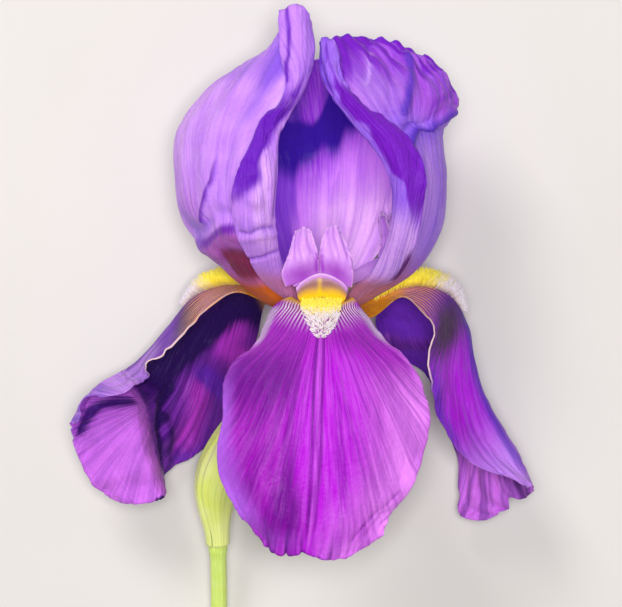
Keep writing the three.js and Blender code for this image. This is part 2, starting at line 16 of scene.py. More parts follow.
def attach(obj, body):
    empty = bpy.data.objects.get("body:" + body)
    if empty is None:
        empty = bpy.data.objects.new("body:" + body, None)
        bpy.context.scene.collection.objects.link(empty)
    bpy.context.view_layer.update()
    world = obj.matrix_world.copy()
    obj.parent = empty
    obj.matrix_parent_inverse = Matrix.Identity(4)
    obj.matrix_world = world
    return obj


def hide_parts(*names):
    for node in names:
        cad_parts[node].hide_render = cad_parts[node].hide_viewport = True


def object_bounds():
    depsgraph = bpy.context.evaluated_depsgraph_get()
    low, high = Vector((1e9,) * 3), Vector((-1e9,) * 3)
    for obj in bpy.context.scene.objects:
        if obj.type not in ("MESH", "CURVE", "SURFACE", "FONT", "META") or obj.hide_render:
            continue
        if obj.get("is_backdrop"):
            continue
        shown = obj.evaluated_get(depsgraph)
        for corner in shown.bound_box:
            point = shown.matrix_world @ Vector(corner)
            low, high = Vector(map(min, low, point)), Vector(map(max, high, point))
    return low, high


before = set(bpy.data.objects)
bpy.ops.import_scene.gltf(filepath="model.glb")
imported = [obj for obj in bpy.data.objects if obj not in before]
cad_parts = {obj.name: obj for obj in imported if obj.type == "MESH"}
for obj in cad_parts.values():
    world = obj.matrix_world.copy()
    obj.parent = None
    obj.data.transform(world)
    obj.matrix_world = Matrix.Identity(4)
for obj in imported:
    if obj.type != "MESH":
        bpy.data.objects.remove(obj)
CAD_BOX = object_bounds()
SCENE = bpy.context.scene

# Lengths and radii are in mm, and MM turns them into metres
MM = 0.001
THROAT = np.array([4.8, 19.9, 36.0])
FLOOR = -THROAT[2]
PETAL_THICKNESS = 0.32
STYLE_THICKNESS = 0.45
SPATHE_THICKNESS = 0.5
SEAT_HEIGHT = -3.6
FALL_SEAT_RADIUS = 5.2
STANDARD_SEAT_RADIUS = 4.9
SEAT_WIDTH = 4.4
TUBE_TOP = 4.6
TUBE_LENGTH = 24
OVARY_LENGTH = 20
SPATHE_DROP = 27
TUBE_TOP_RADIUS = 6.2
TUBE_RADIUS = 3
OVARY_RADIUS = 3.7
OVARY_END_RADIUS = 2.3
STALK_RADIUS = 2.1
CLEARANCE = 0.3

# What counts as no length, and how finely noise, drawn lines and curves are divided
NO_LENGTH = 1e-9
NOISE_CELLS = 64
LEG_PIECES = 6
CURVE_PIECES = 40


# Small helpers

def rise(start, end, value):
    """0 before start, 1 after end, and smooth between them."""
    x = np.clip((value - start) / (end - start), 0, 1)
    return x * x * (3 - 2 * x)


def hump(centre, width, value):
    """1 at the centre, and fading smoothly to 0 on both sides."""
    return np.exp(-(((value - centre) / width) ** 2))


def window(start, stop, soft, value):
    """1 between start and stop, and 0 outside them, with soft ends."""
    return rise(start - soft, start + soft, value) * rise(stop + soft, stop - soft, value)


def unit(vectors):
    return vectors / np.maximum(np.linalg.norm(vectors, axis=1, keepdims=True), NO_LENGTH)


def turned(azimuth, across, height, out):
    """A point at an azimuth round the flower's axis: 0 faces the viewer."""
    a = math.radians(azimuth)
    return [out * math.sin(a) + across * math.cos(a), height, out * math.cos(a) - across * math.sin(a)]


def seat(azimuth, radius, columns):
    """The first row of a net, where a petal grows from the tube."""
    return [turned(azimuth, SEAT_WIDTH * (i / (columns - 1) - 0.5), SEAT_HEIGHT, radius)
            for i in range(columns)]


def uneven(seed, x, y):
    """Smooth noise from -1 to 1 over a plane."""
    lattice = np.random.default_rng(seed).uniform(-1, 1, (NOISE_CELLS, NOISE_CELLS))
    i, j = np.floor(x).astype(int), np.floor(y).astype(int)
    u, v = rise(0, 1, x - i), rise(0, 1, y - j)
    corner = lambda a, b: lattice[(i + a) % NOISE_CELLS, (j + b) % NOISE_CELLS]
    return ((corner(0, 0) * (1 - u) + corner(1, 0) * u) * (1 - v)
            + (corner(0, 1) * (1 - u) + corner(1, 1) * u) * v)


# Surfaces

def spline(x, count):
    """The cell that each place falls in on a row of points, and its weights for the four nearest."""
    place = np.clip(x, 0, 1) * (count - 1)
    i = np.minimum(place.astype(int), count - 2)
    f = place - i
    return i, (0.5 * (-f + 2 * f**2 - f**3), 0.5 * (2 - 5 * f**2 + 3 * f**3),
               0.5 * (f + 4 * f**2 - 3 * f**3), 0.5 * (-f**2 + f**3))


def on_net(net, s, t):
    """Points of the smooth surface through a net of points."""
    grid = np.array(net, float)
    rows, columns = grid.shape[:2]
    grid = np.concatenate([[2 * grid[0] - grid[1]], grid, [2 * grid[-1] - grid[-2]]])
    grid = np.concatenate([2 * grid[:, :1] - grid[:, 1:2], grid, 2 * grid[:, -1:] - grid[:, -2:-1]], 1)
    i, down = spline(t, rows)
    j, over = spline(s, columns)
    return sum((down[a] * over[b])[:, None] * grid[i + a, j + b] for a in range(4) for b in range(4))


def facing(surface, s, t):
    """Unit normals on the inner face of a petal, and how many mm one unit of s spans."""
    step = 0.004
    along_s = surface(np.minimum(s + step, 1), t) - surface(np.maximum(s - step, 0), t)
    along_t = surface(s, np.minimum(t + step, 1)) - surface(s, np.maximum(t - step, 0))
    span = np.linalg.norm(along_s, axis=1) / (np.minimum(s + step, 1) - np.maximum(s - step, 0))
    return unit(np.cross(along_t, along_s)), span


def far_from(points, surface, path):
    """Distance in mm from each point to a line drawn on a surface through places (s, t)."""
    places = np.array(path, float)
    steps = np.linspace(0, len(places) - 1, LEG_PIECES * (len(places) - 1) + 1)
    line = surface(*(np.interp(steps, range(len(places)), places[:, k]) for k in range(2)))
    nearest = np.full(len(points), np.inf)
    for start, run in zip(line, np.diff(line, axis=0)):
        share = np.clip((points - start) @ run / (run @ run), 0, 1)
        nearest = np.minimum(nearest, np.linalg.norm(points - start - share[:, None] * run, axis=1))
    return nearest


def grid_of(across, along):
    """A flat unit grid with its UV map, and the s and t of each of its points."""
    bm = bmesh.new()
    bm.loops.layers.uv.new("petal")
    bmesh.ops.create_grid(bm, x_segments=across, y_segments=along, size=0.5, calc_uvs=True)
    bmesh.ops.reverse_faces(bm, faces=bm.faces)
    flat = np.array([v.co for v in bm.verts])
    return bm, flat[:, 0] + 0.5, flat[:, 1] + 0.5


def put(bm, points):
    """Moves the points of a piece to their places, given in mm round the throat."""
    for vert, place in zip(bm.verts, (points + THROAT) * MM):
        vert.co = place


def finish_piece(name, bm, node_name, materials, stains, thickness=0):
    """Turns a shape into a finished piece: smooth, stained, walled, and in place of its plain node.
    A stain is one value from 0 to 1 for each point, and the materials read it by its name."""
    mesh = bpy.data.meshes.new(name)
    bm.to_mesh(mesh)
    bm.free()
    mesh.polygons.foreach_set("use_smooth", [True] * len(mesh.polygons))
    for key, values in stains.items():
        layer = mesh.attributes.new(key, "FLOAT", "POINT")
        layer.data.foreach_set("value", np.clip(values, 0, 1).astype(np.float32))
    for material in materials:
        mesh.materials.append(material)
    piece = bpy.data.objects.new(name, mesh)
    SCENE.collection.objects.link(piece)
    if thickness:
        wall = piece.modifiers.new("wall", "SOLIDIFY")
        wall.thickness = thickness * MM
        wall.offset = 0
        wall.use_quality_normals = True
        wall.material_offset = len(materials) - 1
    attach(piece, "root")
    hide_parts(node_name)


# The falls: a narrow haft that arches out from the throat, then a broad drooping blade

FALL_FRONT = [
  seat(0, FALL_SEAT_RADIUS, 5),
  [[-6.4, -0.5, 10.4], [-3.2, -2, 10.2], [0, -2.6, 10], [3.2, -2, 10.2], [6.4, -0.5, 10.4]],
  [[-8, 0.6, 18.2], [-4.2, -1.2, 18.2], [0, -1.6, 18], [4, -1.2, 18.2], [7.4, 0.5, 18.2]],
  [[-12.2, -2.2, 25], [-6.3, -2.7, 26.4], [0, -3, 27], [5.2, -2.8, 26.4], [9.8, -2.6, 25]],
  [[-15.6, -9.6, 29], [-8, -8.6, 32.6], [-0.3, -8, 33.6], [7.3, -8.6, 32.8], [14.8, -9.4, 29.5]],
  [[-22.8, -18, 31], [-12, -17.6, 36.4], [-0.9, -17.5, 38], [11.4, -17.6, 36.6], [23, -18, 31.5]],
  [[-24.2, -30, 33], [-13, -29.5, 38], [-1.3, -29, 39.6], [12, -29.2, 38.4], [25.2, -30, 33.5]],
  [[-24.8, -41.5, 34], [-13.2, -41.3, 38], [-1.8, -41, 39.4], [10.8, -41.2, 38.2], [22.6, -41.5, 34.5]],
  [[-19.6, -50.8, 34], [-11, -52, 37], [-2.6, -52, 38], [7.6, -52, 37.2], [16.8, -50.8, 34.2]],
  [[-16, -56.6, 33], [-10, -60.8, 34.5], [-3.6, -60.6, 35.6], [4.4, -61.8, 35.4], [13.4, -56.6, 33.5]],
]

# Rows run from the far margin, over the ridge, to the near margin
FALL_LEFT = [
  seat(-120, FALL_SEAT_RADIUS, 6),
  [[-8.1, 0.8, -10.2], [-8.8, 0.3, -9], [-9.6, 0, -7.6], [-10.4, 0, -6], [-11.6, -0.2, -2.4],
    [-12.2, -1.4, 2.2]],
  [[-14.2, -0.6, -18], [-15.2, 1.5, -16.2], [-16.4, 3, -13.6], [-17.8, 3.6, -10.5],
    [-19.5, 3.2, -7], [-21, 2, -4]],
  [[-16.6, -9, -25.5], [-19.2, -3.6, -23.6], [-22, 0.8, -20], [-25.6, 3.6, -14.5], [-26.6, 2, -8],
    [-27.2, -1, -2]],
  [[-20, -22, -31.5], [-23.6, -13.5, -29.6], [-27.4, -6.5, -25.4], [-33, 0.2, -18.5],
    [-33.4, -3.2, -10], [-33.4, -7, -1]],
  [[-25.6, -34.6, -36.3], [-29.2, -24.5, -32.5], [-33.6, -15.5, -27], [-39, -7, -20],
    [-39.2, -9.8, -10], [-39, -12.6, 0]],
  [[-33.6, -40.4, -32.5], [-35.8, -31, -29.5], [-38.6, -22, -25.5], [-43.8, -13, -20.5],
    [-43.9, -14.8, -10], [-43.4, -15.8, 0]],
  [[-40.6, -45.4, -23], [-41.8, -35.5, -21.5], [-43.6, -26, -20], [-48.2, -17, -20.5],
    [-47, -18.4, -11], [-44.4, -19.6, -3]],
  [[-40.4, -50.2, -8], [-44.6, -38.5, -6.5], [-47.4, -28, -9.5], [-52.6, -20, -17],
    [-51, -20.6, -8], [-48.2, -22.4, 1]],
  [[-48, -51.4, -9.5], [-52.4, -42, -8.5], [-55.2, -32.6, -10], [-58.4, -24.2, -14],
    [-57.8, -23.4, -7], [-57.2, -23.8, 1.5]],
  [[-54, -50.6, -12], [-58.6, -46.4, -12], [-61.6, -40.6, -11], [-63.3, -35, -9],
    [-63, -31.6, -5], [-61.8, -30.2, 0]],
]

# Rows run from the near margin, over the ridge, to the far margin
FALL_RIGHT = [
  seat(120, FALL_SEAT_RADIUS, 6),
  [[12.4, -4.2, 3.2], [12, -1.6, -1], [10.6, 0, -6], [9.6, 0, -7.6], [8.8, 0.3, -9], [8.1, 0.8, -10.2]],
  [[20, 0.8, -3], [19.9, 2.5, -6.5], [19.4, 3.2, -10], [17.6, 2.8, -13.4], [15.8, 1.4, -16.2],
    [14.2, -0.8, -18]],
  [[25, -3, 0], [26.2, 1.2, -6], [26.8, 3.8, -12.5], [23, 1.6, -18.5], [18.6, -1.8, -22],
    [14.2, -7, -24]],
  [[28, -7.4, 3], [30.8, -3, -4.5], [33, 0.8, -12.8], [28.8, -4, -21], [23.8, -8.6, -26.6],
    [18.6, -13.6, -30]],
  [[26.6, -14.4, 5.5], [32.2, -10.2, -2], [36.8, -6, -11.5], [33.8, -9.6, -22], [30, -13.8, -29],
    [26.4, -18.6, -33.4]],
  [[27.2, -22, 5], [33, -18.4, -1], [38.4, -15, -9.5], [36.4, -17.6, -22], [33.4, -21.4, -31],
    [30.4, -26.4, -36.3]],
  [[29.8, -30, 3.5], [35.4, -26.4, -1.5], [40.6, -22.8, -8.5], [39, -26.6, -20.5],
    [36.2, -31, -29], [33.4, -36, -33.4]],
  [[33.6, -37.4, 1], [39.4, -33.8, -3], [44.6, -30.6, -8.5], [42.4, -36.4, -18], [39.4, -41, -24.5],
    [36.2, -46, -28]],
  [[42.2, -42.8, -1], [46, -40.4, -4.5], [49.4, -38.4, -9], [45.8, -44.6, -17], [40.8, -50.2, -22],
    [35.4, -55.2, -25]],
  [[51.6, -46.8, -4], [53.2, -47, -6.5], [53.8, -48.2, -10], [51.4, -51, -15.5], [47.6, -54, -19.5],
    [42.6, -56.6, -22.5]],
]

# The standards: upright and domed. The two in front roll their near margins outwards.

# Rows run from the back margin, round the outside, over the near fold to the rolled margin
STANDARD_LEFT = [
  seat(-60, STANDARD_SEAT_RADIUS, 8),
  [[-9.8, 1.4, 1.2], [-11.8, 1.3, 2.6], [-13.6, 1.2, 4.2], [-14, 1.2, 6.4], [-11.8, 1.3, 8.8],
    [-7, 2.9, 11], [-9.8, 2.8, 13.2], [-13.4, 3.5, 12.8]],
  [[-21, 9, -1.5], [-23.6, 9.3, 0], [-24.5, 9.5, 3], [-23.5, 9.5, 10], [-18, 9, 15],
    [-9.8, 8.2, 17], [-13.3, 9, 20.6], [-17.8, 9.8, 20.4]],
  [[-26.5, 18, -14], [-31.5, 18.3, -8], [-34, 18.5, 2], [-30.5, 18.3, 14], [-21.5, 18, 22],
    [-11.4, 17.8, 25], [-15.8, 18.3, 29.5], [-21.5, 19, 28.5]],
  [[-27, 30, -21], [-34, 30, -11], [-36.5, 30, 2], [-32.5, 29.5, 15], [-22.5, 29, 24.5],
    [-10.9, 28.8, 29], [-15, 29.2, 33], [-20.6, 29.6, 32]],
  [[-24, 42.5, -21], [-32.5, 42.5, -10], [-36, 42, 2], [-31, 41, 14], [-20.5, 40.5, 23],
    [-10, 40.5, 27], [-12.3, 40.7, 31], [-15.6, 41, 30]],
  [[-17, 53, -15], [-25, 53, -7], [-28.5, 52.5, 2], [-24.5, 51.5, 12], [-15.5, 51.5, 19],
    [-4.8, 50.8, 22], [-6.5, 50.8, 26], [-9, 51, 25.5]],
  [[-10, 59.5, -9], [-16, 59, -4], [-20, 58.3, 2.5], [-17.8, 58.5, 9], [-11.2, 61, 14],
    [-2, 60.5, 16], [-5.6, 61.5, 19.5], [-10.6, 61.4, 17.5]],
  [[-5.5, 62, -5], [-9, 61.8, -1.5], [-13.5, 61.5, 3], [-13.2, 62, 7.5], [-10, 67, 10.5],
    [-2.6, 67.8, 12], [-5.6, 72.4, 15], [-10.4, 70.6, 13.6]],
]

# Rows run from the rolled near margin, over the fold and round the outside, to the back margin
STANDARD_RIGHT = [
  seat(60, STANDARD_SEAT_RADIUS, 8),
  [[12.6, 2.6, 12.6], [9.8, 2.7, 12.8], [7.5, 2.7, 10.8], [11.6, 1.5, 8.6], [13.6, 1.2, 6.2],
    [13.4, 1.2, 4.2], [11.8, 1.3, 2.6], [9.8, 1.4, 1.2]],
  [[18.6, 5.8, 20], [15.2, 6.4, 20.6], [12, 7, 17.4], [18.8, 7.4, 14.6], [22.8, 7.5, 9],
    [23.8, 8, 3.4], [23.4, 8.5, 1], [21.4, 8.7, -0.4]],
  [[22.7, 14.5, 27], [19, 15.5, 28.5], [16.2, 16, 24.5], [22.3, 16.5, 20.5], [28, 17, 12.5],
    [29.7, 18, 2], [28, 18, -7], [24.5, 18, -13.5]],
  [[24.5, 27.5, 30], [20, 27, 32], [16.8, 27, 28], [24, 28.5, 22.5], [29.5, 29, 13.5],
    [30.8, 29.5, 3], [29, 30, -10], [24.5, 30, -21]],
  [[22, 37.5, 29.5], [17.5, 37, 31.5], [13.5, 35, 27.5], [21, 40, 21], [28, 41, 12.5],
    [29.8, 41, 4], [28, 41, -8], [22, 41, -20]],
  [[14.5, 44, 27], [11, 44.5, 28], [8, 42, 24], [18.5, 44, 22.5], [27, 42.5, 18],
    [31.5, 44.5, 7], [26, 47, -5], [19, 48, -16]],
  [[7.5, 49.4, 22], [4.8, 51, 22.5], [2.6, 49.5, 19], [15.5, 52, 19.5], [28, 50.5, 16],
    [33.3, 49, 7], [24, 54.5, -3], [17, 55, -11.5]],
  [[4.6, 56, 18.5], [2, 57, 19], [-0.3, 56, 15.5], [11, 59.5, 14.5], [22, 59.5, 11],
    [29.5, 56.5, 5], [17, 61.5, -1], [9.5, 61.3, -7.5]],
  [[3, 63.5, 13.5], [1, 64.2, 14], [-0.5, 63.5, 11], [6, 64.8, 9.5], [16.5, 64, 7],
    [25, 60.5, 3], [10, 65.5, 0], [2, 64.5, -5]],
]

# Rows run from the right margin, round the back that the flower lies on, to the left margin
STANDARD_BACK = [
  seat(180, STANDARD_SEAT_RADIUS, 7),
  [[6.6, 3.6, -8.8], [4.6, 3, -10.4], [2.2, 2.8, -11.4], [0, 2.6, -11.6], [-2.2, 2.8, -11.4],
    [-4.6, 3, -10.4], [-6.6, 3.6, -8.8]],
  [[14.4, 12, -16.6], [11, 12, -19.2], [5.6, 12, -21], [0, 12, -21.8], [-5.6, 12, -21],
    [-11, 12, -19.2], [-14.4, 12, -16.6]],
  [[20.4, 24, -16], [16, 24, -23], [8.5, 24, -29], [0, 24, -31.2], [-8.5, 24, -29],
    [-16, 24, -23], [-20.4, 24, -16]],
  [[22, 36, -10], [17.5, 36, -23], [9.5, 36, -33], [0, 36, -36.8], [-9.5, 36, -33],
    [-17.5, 36, -23], [-22, 36, -10]],
  [[20.5, 46, -6], [16.5, 47, -18], [9, 47.5, -27.5], [0, 47.5, -31], [-9, 47.5, -27.5],
    [-16.5, 47, -18], [-20.5, 46, -6]],
  [[13, 52.5, -1], [11, 54.4, -9.6], [6.6, 56.6, -17], [0, 57.5, -20.5], [-6.6, 56.6, -17],
    [-11, 54.4, -9.6], [-13, 52.5, -1]],
  [[8, 54, 4], [6.5, 57, -2], [4, 59.5, -7], [0, 60.5, -9], [-4, 59.5, -7],
    [-6.5, 57, -2], [-8, 54, 4]],
]


# The style: over each haft an arm that ends in a lip and two upright crests.
# Points are [across, height, out] along the arm's own azimuth.

ARM = [
  [[-1.4, -0.4, 0.6], [-0.8, 0.4, 0.6], [0, 0.7, 0.6], [0.8, 0.4, 0.6], [1.4, -0.4, 0.6]],
  [[-2.6, 1.2, 5], [-1.4, 2.4, 5], [0, 3, 5], [1.4, 2.4, 5], [2.6, 1.2, 5]],
  [[-4, 2.4, 10], [-2.2, 4.2, 10], [0, 5, 10], [2.1, 4.2, 10], [3.9, 2.4, 10]],
  [[-5.6, 2.9, 15.5], [-3.3, 4.9, 15.5], [-0.3, 6.4, 15.5], [2.6, 5.2, 15.5], [5.4, 2.8, 15.5]],
  [[-7, 3.4, 20.5], [-4.4, 4.9, 20.5], [-0.6, 6.9, 20.5], [3.2, 5.6, 20.5], [6.8, 3.2, 20.5]],
]
CREST_LEFT = [
  [[-7, 3.2, 20.3], [-4.4, 4.7, 20.3], [-0.8, 6.7, 20.3]],
  [[-9.6, 6.6, 21.2], [-5.4, 8, 22.2], [-0.8, 8.9, 21.3]],
  [[-9.6, 10, 21.8], [-5.6, 11, 22.8], [-1, 11, 21.8]],
  [[-8.8, 13.8, 21.2], [-5.4, 14.3, 22], [-1.9, 14, 21.4]],
  [[-6.8, 16.6, 19.8], [-4.8, 17.6, 20.2], [-2.8, 17, 20]],
]
CREST_RIGHT = [
  [[-0.4, 6.7, 20.3], [3.2, 5.4, 20.3], [6.8, 3, 20.3]],
  [[-0.7, 8.9, 21.1], [3.6, 8.4, 22.2], [7.4, 5.6, 21.2]],
  [[-0.6, 11.2, 21.4], [3.6, 11.4, 22.8], [7.6, 9.8, 21.8]],
  [[-0.1, 14.6, 21.2], [3.2, 15, 22], [6.7, 13, 21.2]],
  [[1.2, 17.6, 20], [3, 18.2, 20.2], [5.1, 16.4, 19.8]],
]
# The side falls arch higher than the front one, so what lies over them rises with them
SIDE_RISE = 0.21
# and, with less room between the standards, is narrower and a little shorter
SIDE_WIDTH = 0.66
SIDE_REACH = 0.92


# Finishes

RELIEF_STRENGTH = 0.6
CLOUDINESS = 0.7
THREAD_SHARE = 0.14
FAN_SHARE = 0.35
LEAST_ROUGH = 0.38
ROUGH_SPREAD = 0.16
WHITE = (255, 255, 255)


def paint(tone):
    """A colour named by its screen values, as the shader wants it."""
    channels = (value / 255 for value in tone)
    return tuple(c / 12.92 if c <= 0.04045 else ((c + 0.055) / 1.055) ** 2.4 for c in channels) + (1,)


def node(tree, kind, inputs=None, **settings):
    made = tree.nodes.new(kind)
    for key, value in settings.items():
        setattr(made, key, value)
    for key, value in (inputs or {}).items():
        if isinstance(value, bpy.types.NodeSocket):
            tree.links.new(value, made.inputs[key])
        else:
            made.inputs[key].default_value = value
    return made


def maths(tree, operation, a, b=0.0):
    return node(tree, "ShaderNodeMath", {0: a, 1: b}, operation=operation).outputs[0]


def times(tree, value, *shares):
    for share in shares:
        value = maths(tree, "MULTIPLY", value, share)
    return value


def plus(tree, a, b):
    return maths(tree, "ADD", a, b)


def minus(tree, a, b):
    return maths(tree, "SUBTRACT", a, b)


def blend(tree, share, under, over):
    """The under colour, painted over with another by a share from 0 to 1."""
    return node(tree, "ShaderNodeMix", {0: share, 6: under, 7: over}, data_type="RGBA").outputs[2]


def washed(tree, colour, tone, share):
    """A colour with a paint laid over it by a share from 0 to 1."""
    return blend(tree, share, colour, paint(tone))


def ramp(tree, value, start, end):
    return node(tree, "ShaderNodeMapRange", {"Value": value, "From Min": start, "From Max": end},
                interpolation_type="SMOOTHSTEP").outputs["Result"]


def noise(tree, vector, scale, detail=2.0, roughness=0.5):
    inputs = {"Vector": vector, "Scale": scale, "Detail": detail, "Roughness": roughness}
    return node(tree, "ShaderNodeTexNoise", inputs).outputs["Fac"]


def in_place(tree):
    """Where the skin is on the finished piece, in metres."""
    return node(tree, "ShaderNodeTexCoord").outputs["Object"]


def on_petal(tree):
    """Where the skin is on its petal: across the veins, and along them."""
    return node(tree, "ShaderNodeUVMap", uv_map="petal").outputs[0]


def stretched(tree, vector, across, along, shift=0.0):
    """A place on a petal, spread out so that a pattern on it runs along the veins."""
    parts = node(tree, "ShaderNodeSeparateXYZ", {0: vector}).outputs
    spread = {0: times(tree, parts[0], across), 1: times(tree, parts[1], along), 2: shift}
    return node(tree, "ShaderNodeCombineXYZ", spread).outputs[0]


def new_group(name, inputs, outputs):
    """An empty group of nodes. Its inputs have their usual values, or None where one is a place."""
    tree = bpy.data.node_groups.new(name, "ShaderNodeTree")
    for label, value in inputs.items():
        kind = "NodeSocketVector" if value is None else "NodeSocketFloat"
        socket = tree.interface.new_socket(name=label, in_out="INPUT", socket_type=kind)
        if value is not None:
            socket.default_value = value
    for label in outputs:
        tree.interface.new_socket(name=label, in_out="OUTPUT", socket_type="NodeSocketFloat")
    return tree, tree.nodes.new("NodeGroupInput").outputs, tree.nodes.new("NodeGroupOutput").inputs


def vein_group():
    """Fine veins that run from a petal's foot to its tip: a mask, and a height for the relief."""
    tree, given, out = new_group(
        "petal veins", {"Vector": None, "Count": 26.0, "Length": 2.0, "Shift": 0.0}, ("Mask", "Height"))
    place = stretched(tree, given["Vector"], given["Count"], given["Length"], given["Shift"])
    broad = noise(tree, place, 1.0, 1.0)
    fine_place = stretched(tree, given["Vector"], times(tree, given["Count"], 3.2),
                           times(tree, given["Length"], 2.6), given["Shift"])
    fine = noise(tree, fine_place, 1.0, 2.0, 0.6)
    both = plus(tree, times(tree, broad, 0.55), times(tree, fine, 0.45))
    tree.links.new(ramp(tree, both, 0.43, 0.6), out["Mask"])
    tree.links.new(both, out["Height"])
    return tree


def mottling_group():
    """Soft uneven patches of colour, as the sap leaves them."""
    tree, given, out = new_group("petal mottling", {"Scale": 160.0, "Softness": 0.25}, ("Mask",))
    patches = noise(tree, in_place(tree), given["Scale"], 3.0, 0.55)
    low, high = minus(tree, 0.5, given["Softness"]), plus(tree, 0.5, given["Softness"])
    tree.links.new(ramp(tree, patches, low, high), out["Mask"])
    return tree


def crepe_group():
    """The crinkled skin of a petal, as a height for the relief."""
    tree, given, out = new_group(
        "petal crepe", {"Fineness": 900.0, "Vein Height": 0.5}, ("Height",))
    place = in_place(tree)
    fine = noise(tree, place, given["Fineness"])
    coarse = noise(tree, place, times(tree, given["Fineness"], 0.35))
    skin = plus(tree, times(tree, fine, 0.4), times(tree, coarse, 0.6))
    tree.links.new(plus(tree, skin, given["Vein Height"]), out["Height"])
    return tree


def stripe_group():
    """The pale lines that fan out over a haft beside the beard."""
    tree, given, out = new_group("haft stripes", {"Vector": None, "Count": 30.0, "Width": 0.5}, ("Mask",))
    waver = noise(tree, stretched(tree, given["Vector"], 7.0, 14.0), 1.0)
    across = node(tree, "ShaderNodeSeparateXYZ", {0: given["Vector"]}).outputs[0]
    place = plus(tree, across, times(tree, waver, 0.05))
    turn = times(tree, place, given["Count"], math.tau)
    wave = plus(tree, times(tree, maths(tree, "SINE", turn), 0.5), 0.5)
    grain = noise(tree, stretched(tree, given["Vector"], 60.0, 9.0), 1.0, 1.0)
    wave = plus(tree, wave, times(tree, minus(tree, grain, 0.5), 0.9))
    low, high = minus(tree, given["Width"], 0.18), plus(tree, given["Width"], 0.18)
    tree.links.new(ramp(tree, wave, low, high), out["Mask"])
    return tree


VEINS = vein_group()
MOTTLING = mottling_group()
CREPE = crepe_group()
STRIPES = stripe_group()


def placed(tree, group, **inputs):
    """A shared effect, placed in a material with its own values."""
    named = {label.replace("_", " "): value for label, value in inputs.items()}
    return node(tree, "ShaderNodeGroup", named, node_tree=group).outputs


def stain(tree, name):
    return node(tree, "ShaderNodeAttribute", attribute_name=name).outputs["Fac"]


def empty_finish(name, roughness, subsurface, sheen, specular, tint=WHITE):
    """A new material with a soft skin that light sinks into, its node tree and its shader."""
    material = bpy.data.materials.new(name)
    material.use_nodes = True
    tree = material.node_tree
    shader = tree.nodes["Principled BSDF"]
    for key, value in (("Roughness", roughness), ("Specular IOR Level", specular),
                       ("Subsurface Weight", subsurface), ("Subsurface Radius", (1.0, 0.45, 1.0)),
                       ("Subsurface Scale", 1.2 * MM), ("Sheen Weight", sheen),
                       ("Sheen Roughness", 0.45), ("Sheen Tint", paint(tint))):
        shader.inputs[key].default_value = value
    return material, tree, shader


def colour_skin(tree, shader, colour, through=0.0):
    """Gives a skin its colour. Where through is set, the skin also shines in that colour whatever light falls
    on it: a painted glow that stands in for light coming through it from behind.
    """
    tree.links.new(colour, shader.inputs["Base Color"])
    if through:
        tree.links.new(colour, shader.inputs["Emission Color"])
        shader.inputs["Emission Strength"].default_value = through


def relief(tree, shader, height, depth):
    """Lets a height tilt the light on the skin, by a depth in mm."""
    inputs = {"Strength": RELIEF_STRENGTH, "Distance": depth * MM, "Height": height}
    bump = node(tree, "ShaderNodeBump", inputs)
    tree.links.new(bump.outputs[0], shader.inputs["Normal"])


def petal_finish(name, body, cloudy, vein, margin, pale, glow_and_shade, shade, blue_shade, warm, smoke=(120, 84, 110),
                 haft=None, vein_share=0.45, vein_count=15.0, shift=0.0, ragged=1.1, through=0.0):
    """A petal's skin. Its stains are painted where the petal's own masks say, with edges made ragged
    by the veins, and through gives it a painted glow that stands in for light coming through it."""
    material, tree, shader = empty_finish(name, 0.46, 0.2, 0.05, 0.14, (246, 200, 255))
    place = on_petal(tree)
    veins = placed(tree, VEINS, Vector=place, Count=vein_count, Length=2.2, Shift=shift)
    threads = placed(tree, VEINS, Vector=place, Count=vein_count * 2.7, Length=5.0, Shift=shift + 20)
    patches = placed(tree, MOTTLING, Scale=150.0, Softness=0.2)["Mask"]
    colour = blend(tree, times(tree, patches, CLOUDINESS), paint(body), paint(cloudy))
    # Glow paints light coming through the falls, and shade in the hollows of the standards. Pale is the
    # petals' paler parts, and on some faces painted light, as each look says.
    for key, tone in (("glow_and_shade", glow_and_shade), ("pale", pale)):
        colour = washed(tree, colour, tone, stain(tree, key))
    open_skin = minus(tree, 1.0, stain(tree, "clear"))
    colour = washed(tree, colour, vein, times(tree, veins["Mask"], vein_share, open_skin))
    colour = washed(tree, colour, pale, times(tree, threads["Mask"], THREAD_SHARE, open_skin))
    unevenness = times(tree, minus(tree, veins["Height"], 0.5), ragged)
    # Shade and blue are painted shade: in creases, valleys and hollows, under folds, and on faces turned from
    # the light. Smoke is partly painted shade too.
    for key, tone in (("shade", shade), ("blue_shade", blue_shade), ("smoke", smoke)):
        mask = stain(tree, key)
        ragged_mask = ramp(tree, plus(tree, mask, unevenness), 0.1, 0.9)
        colour = washed(tree, colour, tone, times(tree, ragged_mask, ramp(tree, mask, 0.0, 0.2)))
    for key, tone in (("margin", margin), ("warm", warm)):
        colour = washed(tree, colour, tone, stain(tree, key))
    if haft:
        lines = placed(tree, STRIPES, Vector=place, Count=haft["count"], Width=haft["width"])["Mask"]
        fan = washed(tree, colour, haft["line"], times(tree, lines, haft["strength"]))
        striped = blend(tree, lines, paint(haft["ground"]), paint(haft["line"]))
        fan = blend(tree, FAN_SHARE, fan, striped)
        colour = blend(tree, stain(tree, "haft"), colour, fan)
    colour_skin(tree, shader, colour, through)
    rough = plus(tree, LEAST_ROUGH, times(tree, patches, ROUGH_SPREAD))
    tree.links.new(rough, shader.inputs["Roughness"])
    height = placed(tree, CREPE, Fineness=1100.0, Vein_Height=times(tree, veins["Height"], 1.8))["Height"]
    relief(tree, shader, height, 0.7)
    return material


# The petals

STAINS = ("glow_and_shade", "pale", "clear", "shade", "blue_shade", "smoke", "margin", "warm", "haft")

